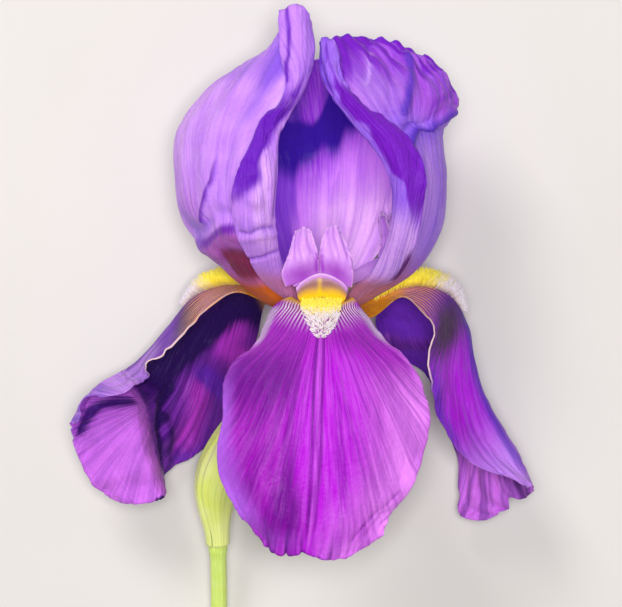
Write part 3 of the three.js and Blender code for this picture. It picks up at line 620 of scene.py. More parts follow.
# How every petal's free edge is waved, frilled and notched: heights and reaches in mm, and counts
WAVES = 6
OTHER_SIDE = 0.35
FRILLS = 40
FRILL_HEIGHT = 0.45
FRILL_REACH = 2.6
NOTCH_DEPTH = 0.16
NOTCH_REACH = 1.2
CUT_REACH = 6
NOTCHES_PER_MM = 0.45
PUCKER_HEIGHT = 0.16
PUCKERS_PER_MM = (0.3, 0.22)
VEIN_HEIGHT = 0.07
VEINS_ACROSS = 60
VEIN_WAVERS = 6


def lay_veins(bm, surface, points, s, t, fan, flap):
    """The petal's UV map, whose second axis runs along the veins. They spread from the petal's foot,
    and on a flap that is folded back they spread from its corner."""
    middle, foot, soft = fan
    steps, rows, columns = np.linspace(0, 1, 201), np.linspace(0, 1, 21), np.linspace(0, 1, 61)
    ridge = surface(np.full(len(steps), middle), steps)
    reach = np.concatenate([[0], np.cumsum(np.linalg.norm(np.diff(ridge, axis=0), axis=1))])
    distance = np.interp(t, steps, reach)
    across = (surface(columns, np.full(len(columns), row)) for row in rows)
    width = [np.linalg.norm(np.diff(line, axis=0), axis=1).sum() for line in across]
    u = (s - middle) * np.interp(t, rows, width) / np.hypot(np.maximum(distance - foot, 0), soft)
    v = distance / reach[-1]
    if flap:
        (x, y), start = flap
        turned_back = rise(start, start + 0.02, t)
        u = u + turned_back * (np.arctan2(points[:, 0] - x, y - points[:, 1]) - u)
        v = v + turned_back * (np.hypot(points[:, 0] - x, y - points[:, 1]) / reach[-1] - v)
    layer = bm.loops.layers.uv["petal"]
    bm.verts.index_update()
    for face in bm.faces:
        for loop in face.loops:
            loop[layer].uv = (u[loop.vert.index], v[loop.vert.index])


def petal(name, net, cells, look, finishes, seed, start, inset, height, shift, fan, flap=None):
    """A petal: its net, waved along the sides, with the folds and stains that its look gives it.
    The waves begin at start along it and at inset across it. The veins fan out from (ridge, foot,
    softness); on a flap that the net itself folds back, given as (corner, start), they fan out from the
    corner instead."""
    bm, s, t = grid_of(*cells)
    surface = partial(on_net, net)
    points = surface(s, t)
    normal, span = facing(surface, s, t)
    step = 0.01
    outward = surface(np.clip(s + step, 0, 1), t) - surface(np.clip(s - step, 0, 1), t)
    outward = unit(outward) * np.sign(s - 0.5)[:, None]
    tipward = surface(s, np.clip(t + step, 0, 1)) - surface(s, np.clip(t - step, 0, 1))
    reach = np.linalg.norm(tipward, axis=1) / (2 * step)
    sides = np.minimum(s, 1 - s) * span
    end = (1 - t) * reach
    edge = np.minimum(sides, end)
    near = lambda path, width: hump(0, width, far_from(points, surface, path))

    side = np.abs(2 * s - 1)
    margin = rise(inset, 1, side) * rise(start, start + 0.3, t)
    turn = math.tau * (WAVES * t + np.where(s > 0.5, OTHER_SIDE, 0) + shift)
    tip = 0.7 * rise(0.8, 1, t) * (1 - side**2)
    lift = height * (margin * np.sin(turn) + tip * np.sin(2 * math.tau * (s + shift)))

    folds, stains = look(s, t, edge, near)
    free = rise(0.25, 0.45, t)
    free *= 1 - hump(fan[0], 0.1, s) * rise(0.52, 0.47, t)
    frill = FRILL_HEIGHT * rise(FRILL_REACH, 0, edge) * free
    lift += folds + frill * uneven(seed, t * FRILLS + s, s * FRILLS * 0.7)
    across, upward = PUCKERS_PER_MM
    lift += PUCKER_HEIGHT * free * uneven(seed + 1, s * span * across, t * reach * upward)
    lift += VEIN_HEIGHT * free * uneven(seed + 2, s * VEINS_ACROSS, t * VEIN_WAVERS)
    notch = uneven(seed + 3, t * reach * NOTCHES_PER_MM, s * span * NOTCHES_PER_MM)
    notch *= NOTCH_DEPTH * free
    short = notch * rise(NOTCH_REACH, 0, end) - stains.pop("cut", 0 * s) * rise(CUT_REACH, 0, end)
    points += normal * lift[:, None] + outward * (notch * rise(NOTCH_REACH, 0, sides))[:, None]
    points += unit(tipward) * short[:, None]
    points[:, 2] = np.maximum(points[:, 2], FLOOR + np.abs(normal[:, 2]) * PETAL_THICKNESS / 2)
    lay_veins(bm, surface, points, s, t, fan, flap)
    put(bm, points)
    for key in STAINS:
        stains.setdefault(key, 0 * s)
    finish_piece(name + "_petal", bm, name, finishes, stains, PETAL_THICKNESS)


# The looks. Each gives a petal's folds, in mm off its net, and its stains. Edge is how far a point
# is from the free edge in mm. Near is 1 on a line drawn on the petal, and fades over a width in mm.

def fall_front_look(s, t, edge, near):
    midrib = hump(0.5, 0.012, s) * window(0.45, 0.97, 0.05, t)
    furrows = (hump(0.478, 0.014, s) + hump(0.524, 0.014, s)) * window(0.42, 0.95, 0.06, t)
    # The tip's pleats, each with its centre, its drift, its width, where it starts and its depth
    pleats = sum(depth * hump(centre + drift * (1 - t), width, s) * rise(start, 1.02, t)
                 for centre, drift, width, start, depth in (
                     (0.13, 0.45, 0.016, 0.86, 1.0), (0.2, 0.4, 0.012, 0.9, 0.6),
                     (0.3, 0.3, 0.014, 0.84, 0.9), (0.44, 0.0, 0.014, 0.86, 1.0),
                     (0.53, 0.0, 0.01, 0.92, 0.5), (0.67, -0.2, 0.014, 0.88, 0.8),
                     (0.8, -0.3, 0.012, 0.93, 0.5)))
    scar = near([(0.78, 0.95), (0.82, 0.915), (0.85, 0.905), (0.88, 0.87), (0.92, 0.86), (0.94, 0.82)], 0.55)
    scar *= 0.75 + 0.25 * uneven(9, t * 60, s * 40)
    blade = window(0.55, 0.95, 0.1, t)
    folds = 0.22 * midrib - 0.3 * furrows - 0.75 * pleats - 0.3 * scar
    folds += 0.5 * hump(0.22, 0.06, s) * blade - 0.45 * hump(0.33, 0.05, s) * blade
    folds += 0.4 * hump(0.72, 0.06, s) * window(0.5, 0.9, 0.1, t)
    left, right = rise(0.55, 0.3, s), rise(0.5, 0.7, s)
    stains = {
        # painted glow: light coming through the middle of the blade
        "glow_and_shade": (0.75 * hump(0.6, 0.17, s) * rise(0.44, 0.54, t)
                 + 0.45 * hump(0.44, 0.1, s) * window(0.55, 0.85, 0.1, t)),
        "pale": (0.95 * rise(20, 2, edge) * rise(0.5, 0.64, t) * right * rise(1.05, 0.8, t)
                 + 0.5 * rise(7, 0.5, edge) * rise(0.82, 0.95, t) * right + 0.25 * midrib
                 + 0.45 * rise(2.0, 0.2, edge) * window(0.38, 0.56, 0.05, t)),
        # painted shade in the pleats, furrows and scar and over the upper left; it also darkens patches low
        # on the blade
        "shade": (0.5 * hump(0.16, 0.13, s) * hump(0.9, 0.12, t)
                  + (0.62 + 0.25 * uneven(19, s * 40, t * 5)) * hump(0.36, 0.1, s) * hump(0.88, 0.14, t)
                  + 0.75 * left * hump(0.56, 0.1, t) + 0.35 * right * hump(0.47, 0.05, t) * rise(0.95, 0.8, s)
                  + 0.7 * pleats + 0.55 * scar + 0.55 * furrows),
        # painted shade in the crinkles along the lower edge
        "blue_shade": (0.6 * rise(1.3, 0.3, edge) * rise(0.92, 0.97, t) * rise(0.75, 0.6, s)
                 * (0.6 + 0.4 * uneven(29, s * 60, t))),
        "margin": 0.8 * rise(4.5 + 3.5 * rise(0.66, 0.76, t), 0.3, edge) * window(0.58, 0.94, 0.08, t) * left,
        "warm": rise(0.3, 0.24, t) + hump(0.5, 0.2, s) * rise(0.36, 0.3, t),
        "haft": (rise(0.22, 0.28, t) * rise(0.47, 0.36, t + 0.14 * np.abs(s - 0.5))
                 * rise(0.0, 0.12, s) * rise(1.0, 0.88, s)),
        # painted light: the grey, see-through look of the thin shoulder edges with light behind them
        "smoke": 0.85 * rise(3.2, 0.6, edge) * window(0.32, 0.46, 0.03, t),
        "cut": (0.8 * hump(0.46, 0.03, s) + 0.7 * hump(0.3, 0.02, s) + 0.6 * hump(0.74, 0.03, s)
                + 0.8 * rise(0.12, 0, s)),
    }
    stains["clear"] = stains["haft"]
    return folds, stains


def fall_left_look(s, t, edge, near):
    blue_fold = near([(0.3, 0.49), (0.24, 0.48), (0.1, 0.46)], 2.6)
    ridge_fold = near([(0.36, 0.44), (0.33, 0.5), (0.3, 0.56)], 1.6)
    long_fold = near([(0.40, 0.62), (0.36, 0.67), (0.24, 0.7), (0.02, 0.71)], 1.8)
    lower_fold = near([(0.27, 0.66), (0.16, 0.66), (0.05, 0.67)], 1.6)
    top_dark = near([(0.3, 0.26), (0.37, 0.35), (0.43, 0.44), (0.47, 0.52), (0.5, 0.62)], 4.2)
    flap = rise(0.73, 0.77, t)
    flap_top = near([(0.56, 0.97), (0.52, 0.91), (0.49, 0.86), (0.45, 0.8)], 2.0) * flap
    folds = 0.9 * blue_fold + 0.8 * long_fold - 0.8 * ridge_fold - 0.6 * lower_fold
    folds -= 0.9 * near([(0.25, 0.36), (0.25, 0.42), (0.14, 0.4)], 2.5)
    folds -= 0.6 * near([(0.24, 0.55), (0.16, 0.58), (0.08, 0.6)], 2.2)
    folds += 0.35 * np.sin(math.tau * (s * 5 + 1.2 * t)) * window(0.42, 0.7, 0.05, t) * rise(0.5, 0.3, s)
    folds += (0.28 * np.sin(math.tau * (s * 7 - 1.5 * t)) + 0.4 * flap_top) * flap
    inside = rise(0.55, 0.75, s)
    stains = {
        # painted shade at the foot, below the top margin and in the folds, and the shadow that the top margin
        # casts on the flap; it also darkens the flap's corner
        "shade": (rise(0.36, 0.24, t) + 1.1 * top_dark * (1 - flap) + 1.1 * long_fold + 0.6 * lower_fold
                  + 0.35 * (1 - flap) * rise(0.3, 0.45, s) + 0.9 * flap_top
                  + near([(0.0, 0.80), (0.0, 0.82)], 0.9)),
        # painted shade in the blue fold, under the flap's top margin, inside the tip and along the near edge
        "blue_shade": (1.1 * blue_fold + 0.35 * flap_top + 0.4 * inside * rise(0.8, 0.88, t)
                 + 0.5 * near([(0.02, 0.52), (0.02, 0.6), (0.03, 0.66)], 1.6)),
        # painted light: two lit patches on the underside
        "glow_and_shade": (1.1 * near([(0.25, 0.35), (0.24, 0.40), (0.12, 0.38)], 4.0)
                 + 1.0 * near([(0.27, 0.53), (0.18, 0.57), (0.12, 0.61)], 3.8)),
        # painted light on the flap, which is turned to the light; it also lightens the inside near the tip
        "pale": 0.9 * flap * (1 - 0.4 * flap_top) + 0.8 * inside * window(0.55, 0.8, 0.05, t),
        "margin": rise(0.9, 0.1, edge) * rise(0.6, 0.7, s) * rise(0.7, 0.6, t),
        "warm": rise(0.25, 0.18, t),
        "haft": rise(0.15, 0.2, t) * rise(0.46, 0.34, t) * inside,
        "smoke": 0.8 * inside * hump(0.4, 0.08, t),
        "clear": 0.4 * rise(0.6, 0.5, t) + 0.45 * flap,
    }
    return folds, stains


def fall_right_look(s, t, edge, near):
    channel = near([(0.2, 0.45), (0.2, 0.6), (0.18, 0.75), (0.14, 0.88)], 3)
    shoulder = near([(0.36, 0.42), (0.36, 0.6), (0.33, 0.8), (0.28, 0.95)], 1.8)
    below_beard = rise(0.46, 0.56, t)
    far_side = rise(0.5, 0.6, s)
    near_side = 1 - far_side
    flap = far_side * rise(0.72, 0.8, t)
    hollow = near([(0.97, 0.36), (0.88, 0.41), (0.78, 0.46)], 2.4)
    folds = (0.5 * shoulder - 0.7 * channel) * below_beard - 0.8 * hollow
    folds += 0.7 * near([(0.9, 0.31), (0.8, 0.36)], 1.8)
    folds += 0.3 * np.sin(math.tau * (s * 8 - 1.2 * t)) * flap
    stains = {
        # painted glow along the channel below the beard
        "glow_and_shade": 1.3 * near([(0.2, 0.5), (0.2, 0.62), (0.18, 0.74), (0.14, 0.84)], 6.5) * near_side,
        "warm": rise(0.24, 0.18, t),
        "haft": rise(0.14, 0.18, t) * rise(0.4, 0.28, t) * near_side,
        # lighter tip and far flap, and a painted highlight on the ridge below the hollow
        "pale": (0.95 * rise(0.74, 0.95, t) * near_side + 0.95 * flap
                 + 0.5 * near([(0.95, 0.33), (0.85, 0.33), (0.75, 0.37)], 2.4)),
        "margin": rise(0.55, 0.1, edge) * rise(0.62, 0.52, t) * rise(0.5, 0.3, s),
        # painted shade along the shoulder fold and the near edge, and over the far half
        "blue_shade": (0.7 * shoulder * window(0.4, 0.96, 0.08, t)
                 + 0.5 * hump(0.02, 0.05, s) * rise(0.5, 0.58, t) * rise(1.0, 0.7, t)
                 + far_side * rise(0.72, 0.6, t) * (1 - hollow)),
        # painted shade at the foot of the far half, in the hollow and in the fold at the tip
        "shade": (0.8 * far_side * hump(0.22, 0.07, t) + 0.25 * hollow
                  + 0.5 * rise(0.7, 0.76, t) * rise(0.12, 0.02, np.abs(s - 0.55))),
        "smoke": 0.9 * hump(0.17, 0.24, s) * hump(0.45, 0.1, t),
        "cut": 2.6 * hump(0.68, 0.05, s) + 0.8 * hump(0.84, 0.03, s),
    }
    stains["clear"] = stains["haft"]
    return folds, stains


def standard_left_look(s, t, edge, near):
    crease = near([(0.53, 0.58), (0.52, 0.5), (0.48, 0.43), (0.45, 0.385)], 0.7) * rise(0.6, 0.5, t)
    beside = near([(0.555, 0.58), (0.54, 0.5), (0.505, 0.43), (0.475, 0.385)], 1.6)
    upper = near([(0.97, 0.34), (0.9, 0.345), (0.84, 0.36), (0.76, 0.37)], 0.6)
    lower = near([(1.0, 0.25), (0.93, 0.26), (0.87, 0.27), (0.76, 0.3)], 0.6)
    under_upper = near([(0.97, 0.32), (0.86, 0.335), (0.76, 0.35)], 0.9)
    hem = 0.33 + 0.05 * rise(0.42, 0.56, s)
    below = rise(hem + 0.012, hem - 0.03, t) * window(0.29, 0.6, 0.03, s)
    hem_line = hump(0.0, 0.014, t - hem + 0.01) * window(0.3, 0.6, 0.03, s)
    hem_roll = hump(0.0, 0.025, t - hem - 0.03) * window(0.3, 0.6, 0.04, s)
    wander = 0.03 * uneven(21, t * 22, s * 6)
    inner_line = 0.80 - 0.1 * rise(0.56, 0.68, t) + 0.14 * rise(0.5, 0.38, t) + wander
    valley = rise(inner_line, inner_line + 0.12, s) * window(0.43, 0.73, 0.1, t)
    outer_line = near([(0.745, 0.62), (0.75, 0.55), (0.75, 0.48), (0.755, 0.4)], 0.8)
    seam = near([(0.95, 1.0), (0.93, 0.93), (0.94, 0.85), (1.0, 0.77)], 0.8)
    folds = 0.5 * beside - 0.9 * crease - 0.7 * upper + 0.4 * under_upper - 0.8 * lower
    folds += 0.8 * hem_roll - 1.5 * below - 1.1 * valley * rise(0.98, 0.9, s) - 0.15 * seam - 0.6 * outer_line
    ripple = np.sin(math.tau * (s * 9 + 0.5 * t))
    folds += 0.35 * ripple * window(0.35, 0.62, 0.05, s) * window(0.42, 0.8, 0.08, t)
    folds += 0.5 * hump(0.0, 0.02, t - hem + 0.08) * window(0.32, 0.6, 0.04, s)
    foot = window(0.3, 0.66, 0.05, s) * window(0.25, 0.44, 0.05, t)
    folds += 0.7 * uneven(23, t * 26 + s * 8, s * 9) * foot
    folds += 0.6 * uneven(24, t * 30 - s * 6, s * 14) * rise(0.76, 0.84, s) * window(0.3, 0.72, 0.05, t)
    strip = rise(0.66, 0.72, s)
    wine = window(0.2, 0.31, 0.03, t) * window(0.48, 0.64, 0.03, s)
    warm = np.clip(rise(0.25, 0.15, t) * (1 - 0.35 * strip) + 0.15 * below, 0, 1)
    stains = {
        # painted shade in the rolled margin's valley, the crease and the folds, along the hem and along the
        # tip's seam
        "shade": (valley + 0.75 * crease + 0.5 * upper + 0.6 * lower + 0.85 * hem_line + 0.55 * outer_line
                  + 0.75 * seam + 0.35 * near([(0.76, 0.86), (0.81, 0.78), (0.84, 0.73)], 1.0)),
        # the dark wine patch at the foot: partly the standard's own colour and partly painted shade among its
        # folds
        "smoke": 0.9 * wine,
        # painted shade: a shadow line down the dome, and in the folds, the hem's roll and the tip
        "blue_shade": (0.6 * hump(0.59, 0.03, s) * window(0.64, 0.92, 0.05, t) + 0.4 * strip * hump(0.36, 0.03, t)
                 + 0.5 * hem_roll * hump(0.45, 0.1, s)
                 + 0.5 * hump(0.36, 0.05, s) * window(0.2, 0.45, 0.05, t)
                 + 0.45 * rise(0.72, 0.82, t) * rise(0.9, 0.8, s)),
        # painted shade under the hem's overhang, and a darker patch on the dome
        "glow_and_shade": 0.9 * below + 0.4 * hump(0.42, 0.05, s) * hump(0.42, 0.06, t),
        "pale": (0.7 * hump(0.67, 0.04, s) * window(0.64, 0.85, 0.05, t)
                 + 0.7 * hump(0.83, 0.06, s) * window(0.3, 0.56, 0.05, t)
                 + 0.3 * hump(0.36, 0.06, s) * window(0.5, 0.8, 0.1, t)),
        "warm": warm * (1 - 0.7 * wine),
        "margin": 0.35 * rise(0.7, 0, edge) * rise(0.5, 0.6, t),
    }
    return folds, stains


def standard_right_look(s, t, edge, near):
    inner_line = 0.245 - 0.12 * rise(0.5, 0.36, t) + 0.03 * uneven(31, t * 22, s * 6)
    band = rise(inner_line, inner_line - 0.06, s) * window(0.37, 0.80, 0.08, t)
    rays = rise(0.70, 0.9, t) * rise(0.22, 0.3, s) * rise(0.86, 0.76, s)
    pleats = np.sin(math.tau * (s * 16 + 0.8 * uneven(5, s * 9, t * 3)))
    # The crease across the top, folded in and painted in blue shade
    blue_shade = near([(0.56, 0.9), (0.50, 0.8), (0.455, 0.69)], 1.2)
    beside_blue = near([(0.51, 0.9), (0.45, 0.8), (0.415, 0.7)], 1.5)
    low = near([(0.42, 0.53), (0.5, 0.6), (0.58, 0.67), (0.67, 0.73)], 1.1)
    above_low = near([(0.42, 0.57), (0.5, 0.64), (0.58, 0.71), (0.66, 0.77)], 1.4)
    ridge = near([(0.49, 0.98), (0.43, 0.88), (0.39, 0.8)], 0.9)
    left = near([(0.25, 1.0), (0.22, 0.88), (0.24, 0.78)], 1.0)
    second = near([(0.17, 0.97), (0.14, 0.86), (0.17, 0.77)], 0.8)
    ruffle = np.sin(math.tau * (s * 21 + 0.6 * uneven(8, s * 11, t)))
    far_folds = np.sin(math.tau * (t * 11 - s * 7)) * window(0.55, 0.72, 0.03, s) * rise(0.6, 0.75, t)
    folds = 0.5 * rays * pleats - 1.2 * blue_shade + 0.9 * beside_blue - 1.2 * low + 0.8 * above_low + 0.9 * ridge
    folds += 0.2 * rise(0.88, 1.0, t) * ruffle * rise(0.22, 0.3, s) - 0.9 * left - 0.5 * second
    folds += 0.25 * far_folds + 0.35 * uneven(33, t * 30, s * 12) * band
    top = rise(0.87 + 0.09 * ruffle, 1.0, t) * rise(0.2, 0.3, s)
    stains = {
        # painted shade in the rolled band, on the ruffled top, between the pleats and along the folds
        "shade": (band + 0.5 * left + 0.5 * second + 0.95 * top
                  + 0.75 * rays * rise(0.0, -0.9, pleats) + 0.5 * far_folds),
        # painted shade beside the rolled edge near the foot, and over the outer wall's foot
        "smoke": (0.9 * rise(0.07, 0.02, s) * window(0.19, 0.3, 0.03, t)
                  + 0.5 * window(0.38, 0.5, 0.04, s) * rise(0.3, 0.24, t)),
        # painted shade in the creases and beside the band
        "blue_shade": (0.75 * blue_shade + 0.75 * low + 0.6 * hump(0.25, 0.05, s) * rise(0.76, 0.84, t)
                 + 0.35 * hump(0.36, 0.07, s) * window(0.25, 0.55, 0.05, t)),
        # painted shade: a darker magenta band below the ruffled top
        "glow_and_shade": 0.9 * rise(0.64, 0.74, t) * rise(0.24, 0.3, s) * rise(0.95, 0.7, s),
        # lighter at the foot and down the middle, with a painted highlight along the ridge
        "pale": (0.95 * rise(0.42, 0.34, t) * rise(0.3, 0.24, s) + 0.8 * ridge * rise(1.0, 0.85, t)
                 + 0.5 * hump(0.46, 0.06, s) * window(0.2, 0.52, 0.05, t)
                 + 0.5 * hump(0.4, 0.08, s) * hump(0.76, 0.07, t)),
        "warm": 0.85 * rise(0.24, 0.12, t) + 0.3 * rise(0.3, 0.2, t) * rise(0.3, 0.4, s),
        "margin": 0.5 * rise(0.6, 0, edge) * rise(0.4, 0.5, t),
    }
    return folds, stains


def standard_back_look(s, t, edge, near):
    seam = 0.40 + 0.06 * rise(0.72, 0.48, t)
    wander = 0.02 * uneven(41, s * 14, t * 6)
    dark_from = 0.575 + 0.11 * rise(0.46, 0.38, s) + 0.03 * hump(0.47, 0.05, s) - 0.02 * rise(0.58, 0.64, s)
    lit_from = 0.69 + 0.1 * rise(0.55, 0.43, s)
    above = rise(lit_from - 0.02, lit_from + 0.03, t) * (0.3 + 0.5 * hump(0.53, 0.06, s))
    glow_from = 0.48 + 0.14 * rise(0.52, 0.38, s)
    seam_reach = window(0.42, 0.8, 0.05, t)
    folds = 0.35 * np.sin(math.tau * (s * 8 + 0.2 * t)) * window(0.3, 0.9, 0.1, t)
    folds -= 0.8 * hump(0.0, 0.02, s - seam) * seam_reach
    folds -= 0.9 * near([(0.08, 0.2), (0.13, 0.3), (0.13, 0.42)], 1.0)
    folds += 0.6 * np.sin(math.tau * (t * 6 + s * 3)) * hump(0.75, 0.12, s) * window(0.25, 0.7, 0.1, t)
    stains = {
        # painted shade down the left side, near the right margin and along the crease at the seam
        "shade": (0.75 * rise(0.59, 0.69, s + 2 * wander) * window(0.22, 0.6, 0.06, t)
                  + 0.35 * hump(0.12, 0.06, s) * window(0.25, 0.55, 0.06, t)
                  + 0.3 * hump(0.0, 0.03, s - seam) * seam_reach),
        # painted shadow in the top of the dome, lighter where light comes through above it
        "blue_shade": rise(dark_from - 0.07, dark_from + 0.05, t + 1.5 * wander) * (1 - above),
        # painted shade: the magenta lower edge of that shadow
        "glow_and_shade": 0.9 * rise(glow_from - 0.05, glow_from + 0.09, t + wander) * rise(0.68, 0.58, s),
        # painted light on the lower middle of the cup
        "pale": (rise(0.58, 0.36, t + wander) * rise(0.58, 0.44, s)
                 + 0.5 * rise(0.5, 0.34, t) * rise(0.66, 0.52, s)),
    }
    return folds, stains


# Through gives a finish an even painted glow, which stands in for light shining through the thin petal.
FALL_INNER = petal_finish(
    "fall inner face", body=(162, 16, 186), cloudy=(148, 16, 172), vein=(112, 10, 150),
    margin=(172, 100, 228), pale=(236, 140, 255), glow_and_shade=(188, 8, 224), shade=(108, 14, 140),
    blue_shade=(72, 24, 120), warm=(240, 184, 20), smoke=(176, 150, 190), through=0.05,
    haft={"count": 9.0, "width": 0.6, "strength": 0.85, "ground": (150, 52, 132), "line": (252, 240, 250)})
FALL_OUTER = petal_finish(
    "fall outer face", body=(112, 38, 172), cloudy=(96, 32, 156), vein=(66, 20, 128),
    margin=(240, 196, 200), pale=(222, 122, 252), glow_and_shade=(200, 58, 220), shade=(42, 14, 90),
    blue_shade=(112, 44, 190), warm=(226, 160, 70), vein_share=0.55, shift=3.0)
FALL_SIDE_INNER = petal_finish(
    "side fall inner face", body=(130, 42, 196), cloudy=(116, 38, 186), vein=(80, 26, 146),
    margin=(250, 214, 214), pale=(202, 142, 248), glow_and_shade=(168, 20, 212), shade=(66, 28, 136),
    blue_shade=(80, 44, 176), warm=(240, 156, 18), smoke=(72, 46, 84), shift=7.0, ragged=0.8,
    haft={"count": 11.0, "width": 0.5, "strength": 0.75, "ground": (160, 70, 56), "line": (252, 180, 124)})
PALE_INNER = petal_finish(
    "pale standard inner face", body=(202, 140, 248), cloudy=(188, 126, 242), vein=(150, 84, 222),
    margin=(146, 96, 220), pale=(234, 184, 255), glow_and_shade=(184, 90, 214), shade=(108, 30, 188),
    blue_shade=(136, 84, 216), warm=(208, 122, 136), smoke=(112, 34, 80), vein_share=0.32, vein_count=26.0,
    ragged=0.6, through=0.06)
PALE_OUTER = petal_finish(
    "pale standard outer face", body=(204, 144, 248), cloudy=(188, 126, 242), vein=(152, 86, 222),
    margin=(146, 96, 220), pale=(232, 184, 255), glow_and_shade=(158, 70, 178), shade=(104, 28, 176),
    blue_shade=(142, 92, 222), warm=(196, 96, 34), smoke=(112, 34, 72), vein_share=0.32, vein_count=26.0,
    shift=2.0, ragged=0.7, through=0.06)
# The right standard's finish is the standards' colour darkened: painted shade for the standard that is turned
# from the light.
SHADED_STANDARD = petal_finish(
    "dark standard, both faces", body=(166, 112, 246), cloudy=(150, 96, 240), vein=(98, 48, 198),
    margin=(104, 56, 204), pale=(218, 166, 252), glow_and_shade=(160, 68, 216), shade=(118, 26, 192),
    blue_shade=(92, 52, 188), warm=(204, 120, 130), smoke=(92, 30, 108), vein_share=0.42, vein_count=26.0,
    shift=5.0, ragged=0.8)
# The back standard's inner face has the strongest painted glow, which lights the inside of the dome.
BACK_INNER = petal_finish(
    "back standard inner face", body=(216, 134, 246), cloudy=(204, 120, 242), vein=(162, 84, 228),
    margin=(160, 112, 224), pale=(250, 192, 255), glow_and_shade=(138, 28, 200), shade=(124, 58, 200),
    blue_shade=(52, 22, 144), warm=(176, 92, 120), vein_share=0.28, vein_count=26.0, shift=9.0, ragged=0.5,
    through=0.24)

petal("fall_front", FALL_FRONT, (150, 210), fall_front_look, [FALL_INNER, FALL_OUTER],
      seed=101, start=0.35, inset=0.6, height=0.7, shift=0, fan=(0.5, 20, 6))
petal("fall_left", FALL_LEFT, (150, 220), fall_left_look, [FALL_SIDE_INNER, FALL_OUTER],
      seed=202, start=0.4, inset=0.6, height=0.7, shift=0.3, fan=(0.6, 18, 8), flap=((-41.7, -25.3), 0.755))
petal("fall_right", FALL_RIGHT, (150, 220), fall_right_look, [FALL_SIDE_INNER, FALL_OUTER],
      seed=303, start=0.4, inset=0.6, height=0.7, shift=0.6, fan=(0.4, 18, 8))
petal("standard_left", STANDARD_LEFT, (220, 190), standard_left_look,
      [PALE_INNER, PALE_OUTER], seed=404, start=0.3, inset=0.75, height=0.7, shift=0.1, fan=(0.55, 0, 12))
petal("standard_right", STANDARD_RIGHT, (220, 190), standard_right_look,
      [SHADED_STANDARD], seed=505, start=0.3, inset=0.75, height=0.5, shift=0.5, fan=(0.45, 0, 12))
petal("standard_back", STANDARD_BACK, (150, 170), standard_back_look,
      [BACK_INNER, PALE_OUTER], seed=606, start=0.4, inset=0.6, height=0.8, shift=0.8, fan=(0.45, 0, 12))


# The beards: stiff clubbed hairs along the middle of each haft, yellow in the throat and white
# at the outer end

HAIR_FOOT_RADIUS = 0.17
HAIR_TIP_RADIUS = 0.08
HAIR_SIDES = 5
ROOT_DEPTH = 0.1


def beard_finish():
    material, tree, shader = empty_finish("beard hair", 0.55, 0.25, 0.3, 0.3)
    grain = placed(tree, MOTTLING, Scale=1400.0, Softness=0.3)["Mask"]
    yellow = blend(tree, grain, paint((255, 234, 24)), paint((255, 244, 90)))
    white = blend(tree, grain, paint((240, 232, 236)), paint((226, 214, 236)))
    colour = blend(tree, stain(tree, "white"), yellow, white)
    colour = washed(tree, colour, (250, 200, 30), times(tree, stain(tree, "foot"), 0.3))
    # The hairs glow a little too: a painted glow that keeps them bright.
    colour_skin(tree, shader, colour, 0.08)
    relief(tree, shader, grain, 0.05)
    return material


BEARD = beard_finish()


def beard(name, net, ridge, start, stop, half_width, taper, turn_white, lengths, seed, hairs=1900):
    """Each hair is a slender cone that leans outwards from the ridge and a little towards the tip.
    The lengths in mm are those at the beard's start and further out."""
    draws = np.random.default_rng(seed)
    surface = partial(on_net, net)
    share = draws.uniform(0, 1, hairs) ** 1.2
    aside = draws.uniform(-1, 1, hairs)
    t = start + (stop - start) * share
    breadth = half_width * (0.1 + 0.9 * (1 - share**taper) ** 0.6)
    s = ridge + aside * breadth / facing(surface, np.full(hairs, ridge), t)[1]
    roots = surface(s, t)
    step = 0.02
    outward = unit(surface(s + step, t) - surface(s - step, t))
    outward *= (0.75 * aside + draws.uniform(-0.2, 0.2, hairs))[:, None]
    forward = unit(surface(s, t + step) - surface(s, t - step)) * draws.uniform(-0.05, 0.45, hairs)[:, None]
    lean = unit(facing(surface, s, t)[0] + outward + forward)
    length = (lengths[0] + (lengths[1] - lengths[0]) * rise(0.02, 0.35, share)) * (1.0 - 0.25 * np.abs(aside))
    length *= draws.uniform(0.85, 1.08, hairs) * (1 - 0.5 * rise(0.7, 1.0, share))
    whiteness = rise(turn_white - 0.1, turn_white + 0.12,
                     share + draws.uniform(-0.06, 0.06, hairs) + 0.1 * np.abs(aside))
    bm = bmesh.new()
    stains = {"white": [], "foot": []}
    for root, up, tall, white in zip(roots, lean, length, whiteness):
        turn = Vector((0, 0, 1)).rotation_difference(Vector(up)).to_matrix().to_4x4()
        middle = Vector((root + up * (tall / 2 - ROOT_DEPTH) + THROAT) * MM)
        made = bmesh.ops.create_cone(
            bm, cap_ends=True, segments=HAIR_SIDES, radius1=HAIR_FOOT_RADIUS * MM,
            radius2=HAIR_TIP_RADIUS * MM, depth=tall * MM, matrix=Matrix.Translation(middle) @ turn)
        stains["white"] += [white] * len(made["verts"])
        stains["foot"] += [float((vert.co - middle).dot(Vector(up)) < 0) for vert in made["verts"]]
    finish_piece(name + "_hair", bm, name, [BEARD], stains)


beard("beard_front", FALL_FRONT, ridge=0.5, start=0.17, stop=0.46, half_width=4.4, taper=3.2,
      turn_white=0.66, lengths=(3.8, 2.2), seed=11, hairs=1600)
beard("beard_left", FALL_LEFT, ridge=0.6, start=0.12, stop=0.43, half_width=3.2, taper=2.5,
      turn_white=0.78, lengths=(2.9, 5.0), seed=23)
beard("beard_right", FALL_RIGHT, ridge=0.4, start=0.12, stop=0.46, half_width=3.2, taper=2.5,
      turn_white=0.66, lengths=(2.9, 4.8), seed=37)


# The style: its three arms with their crests and lips, grown together as one piece

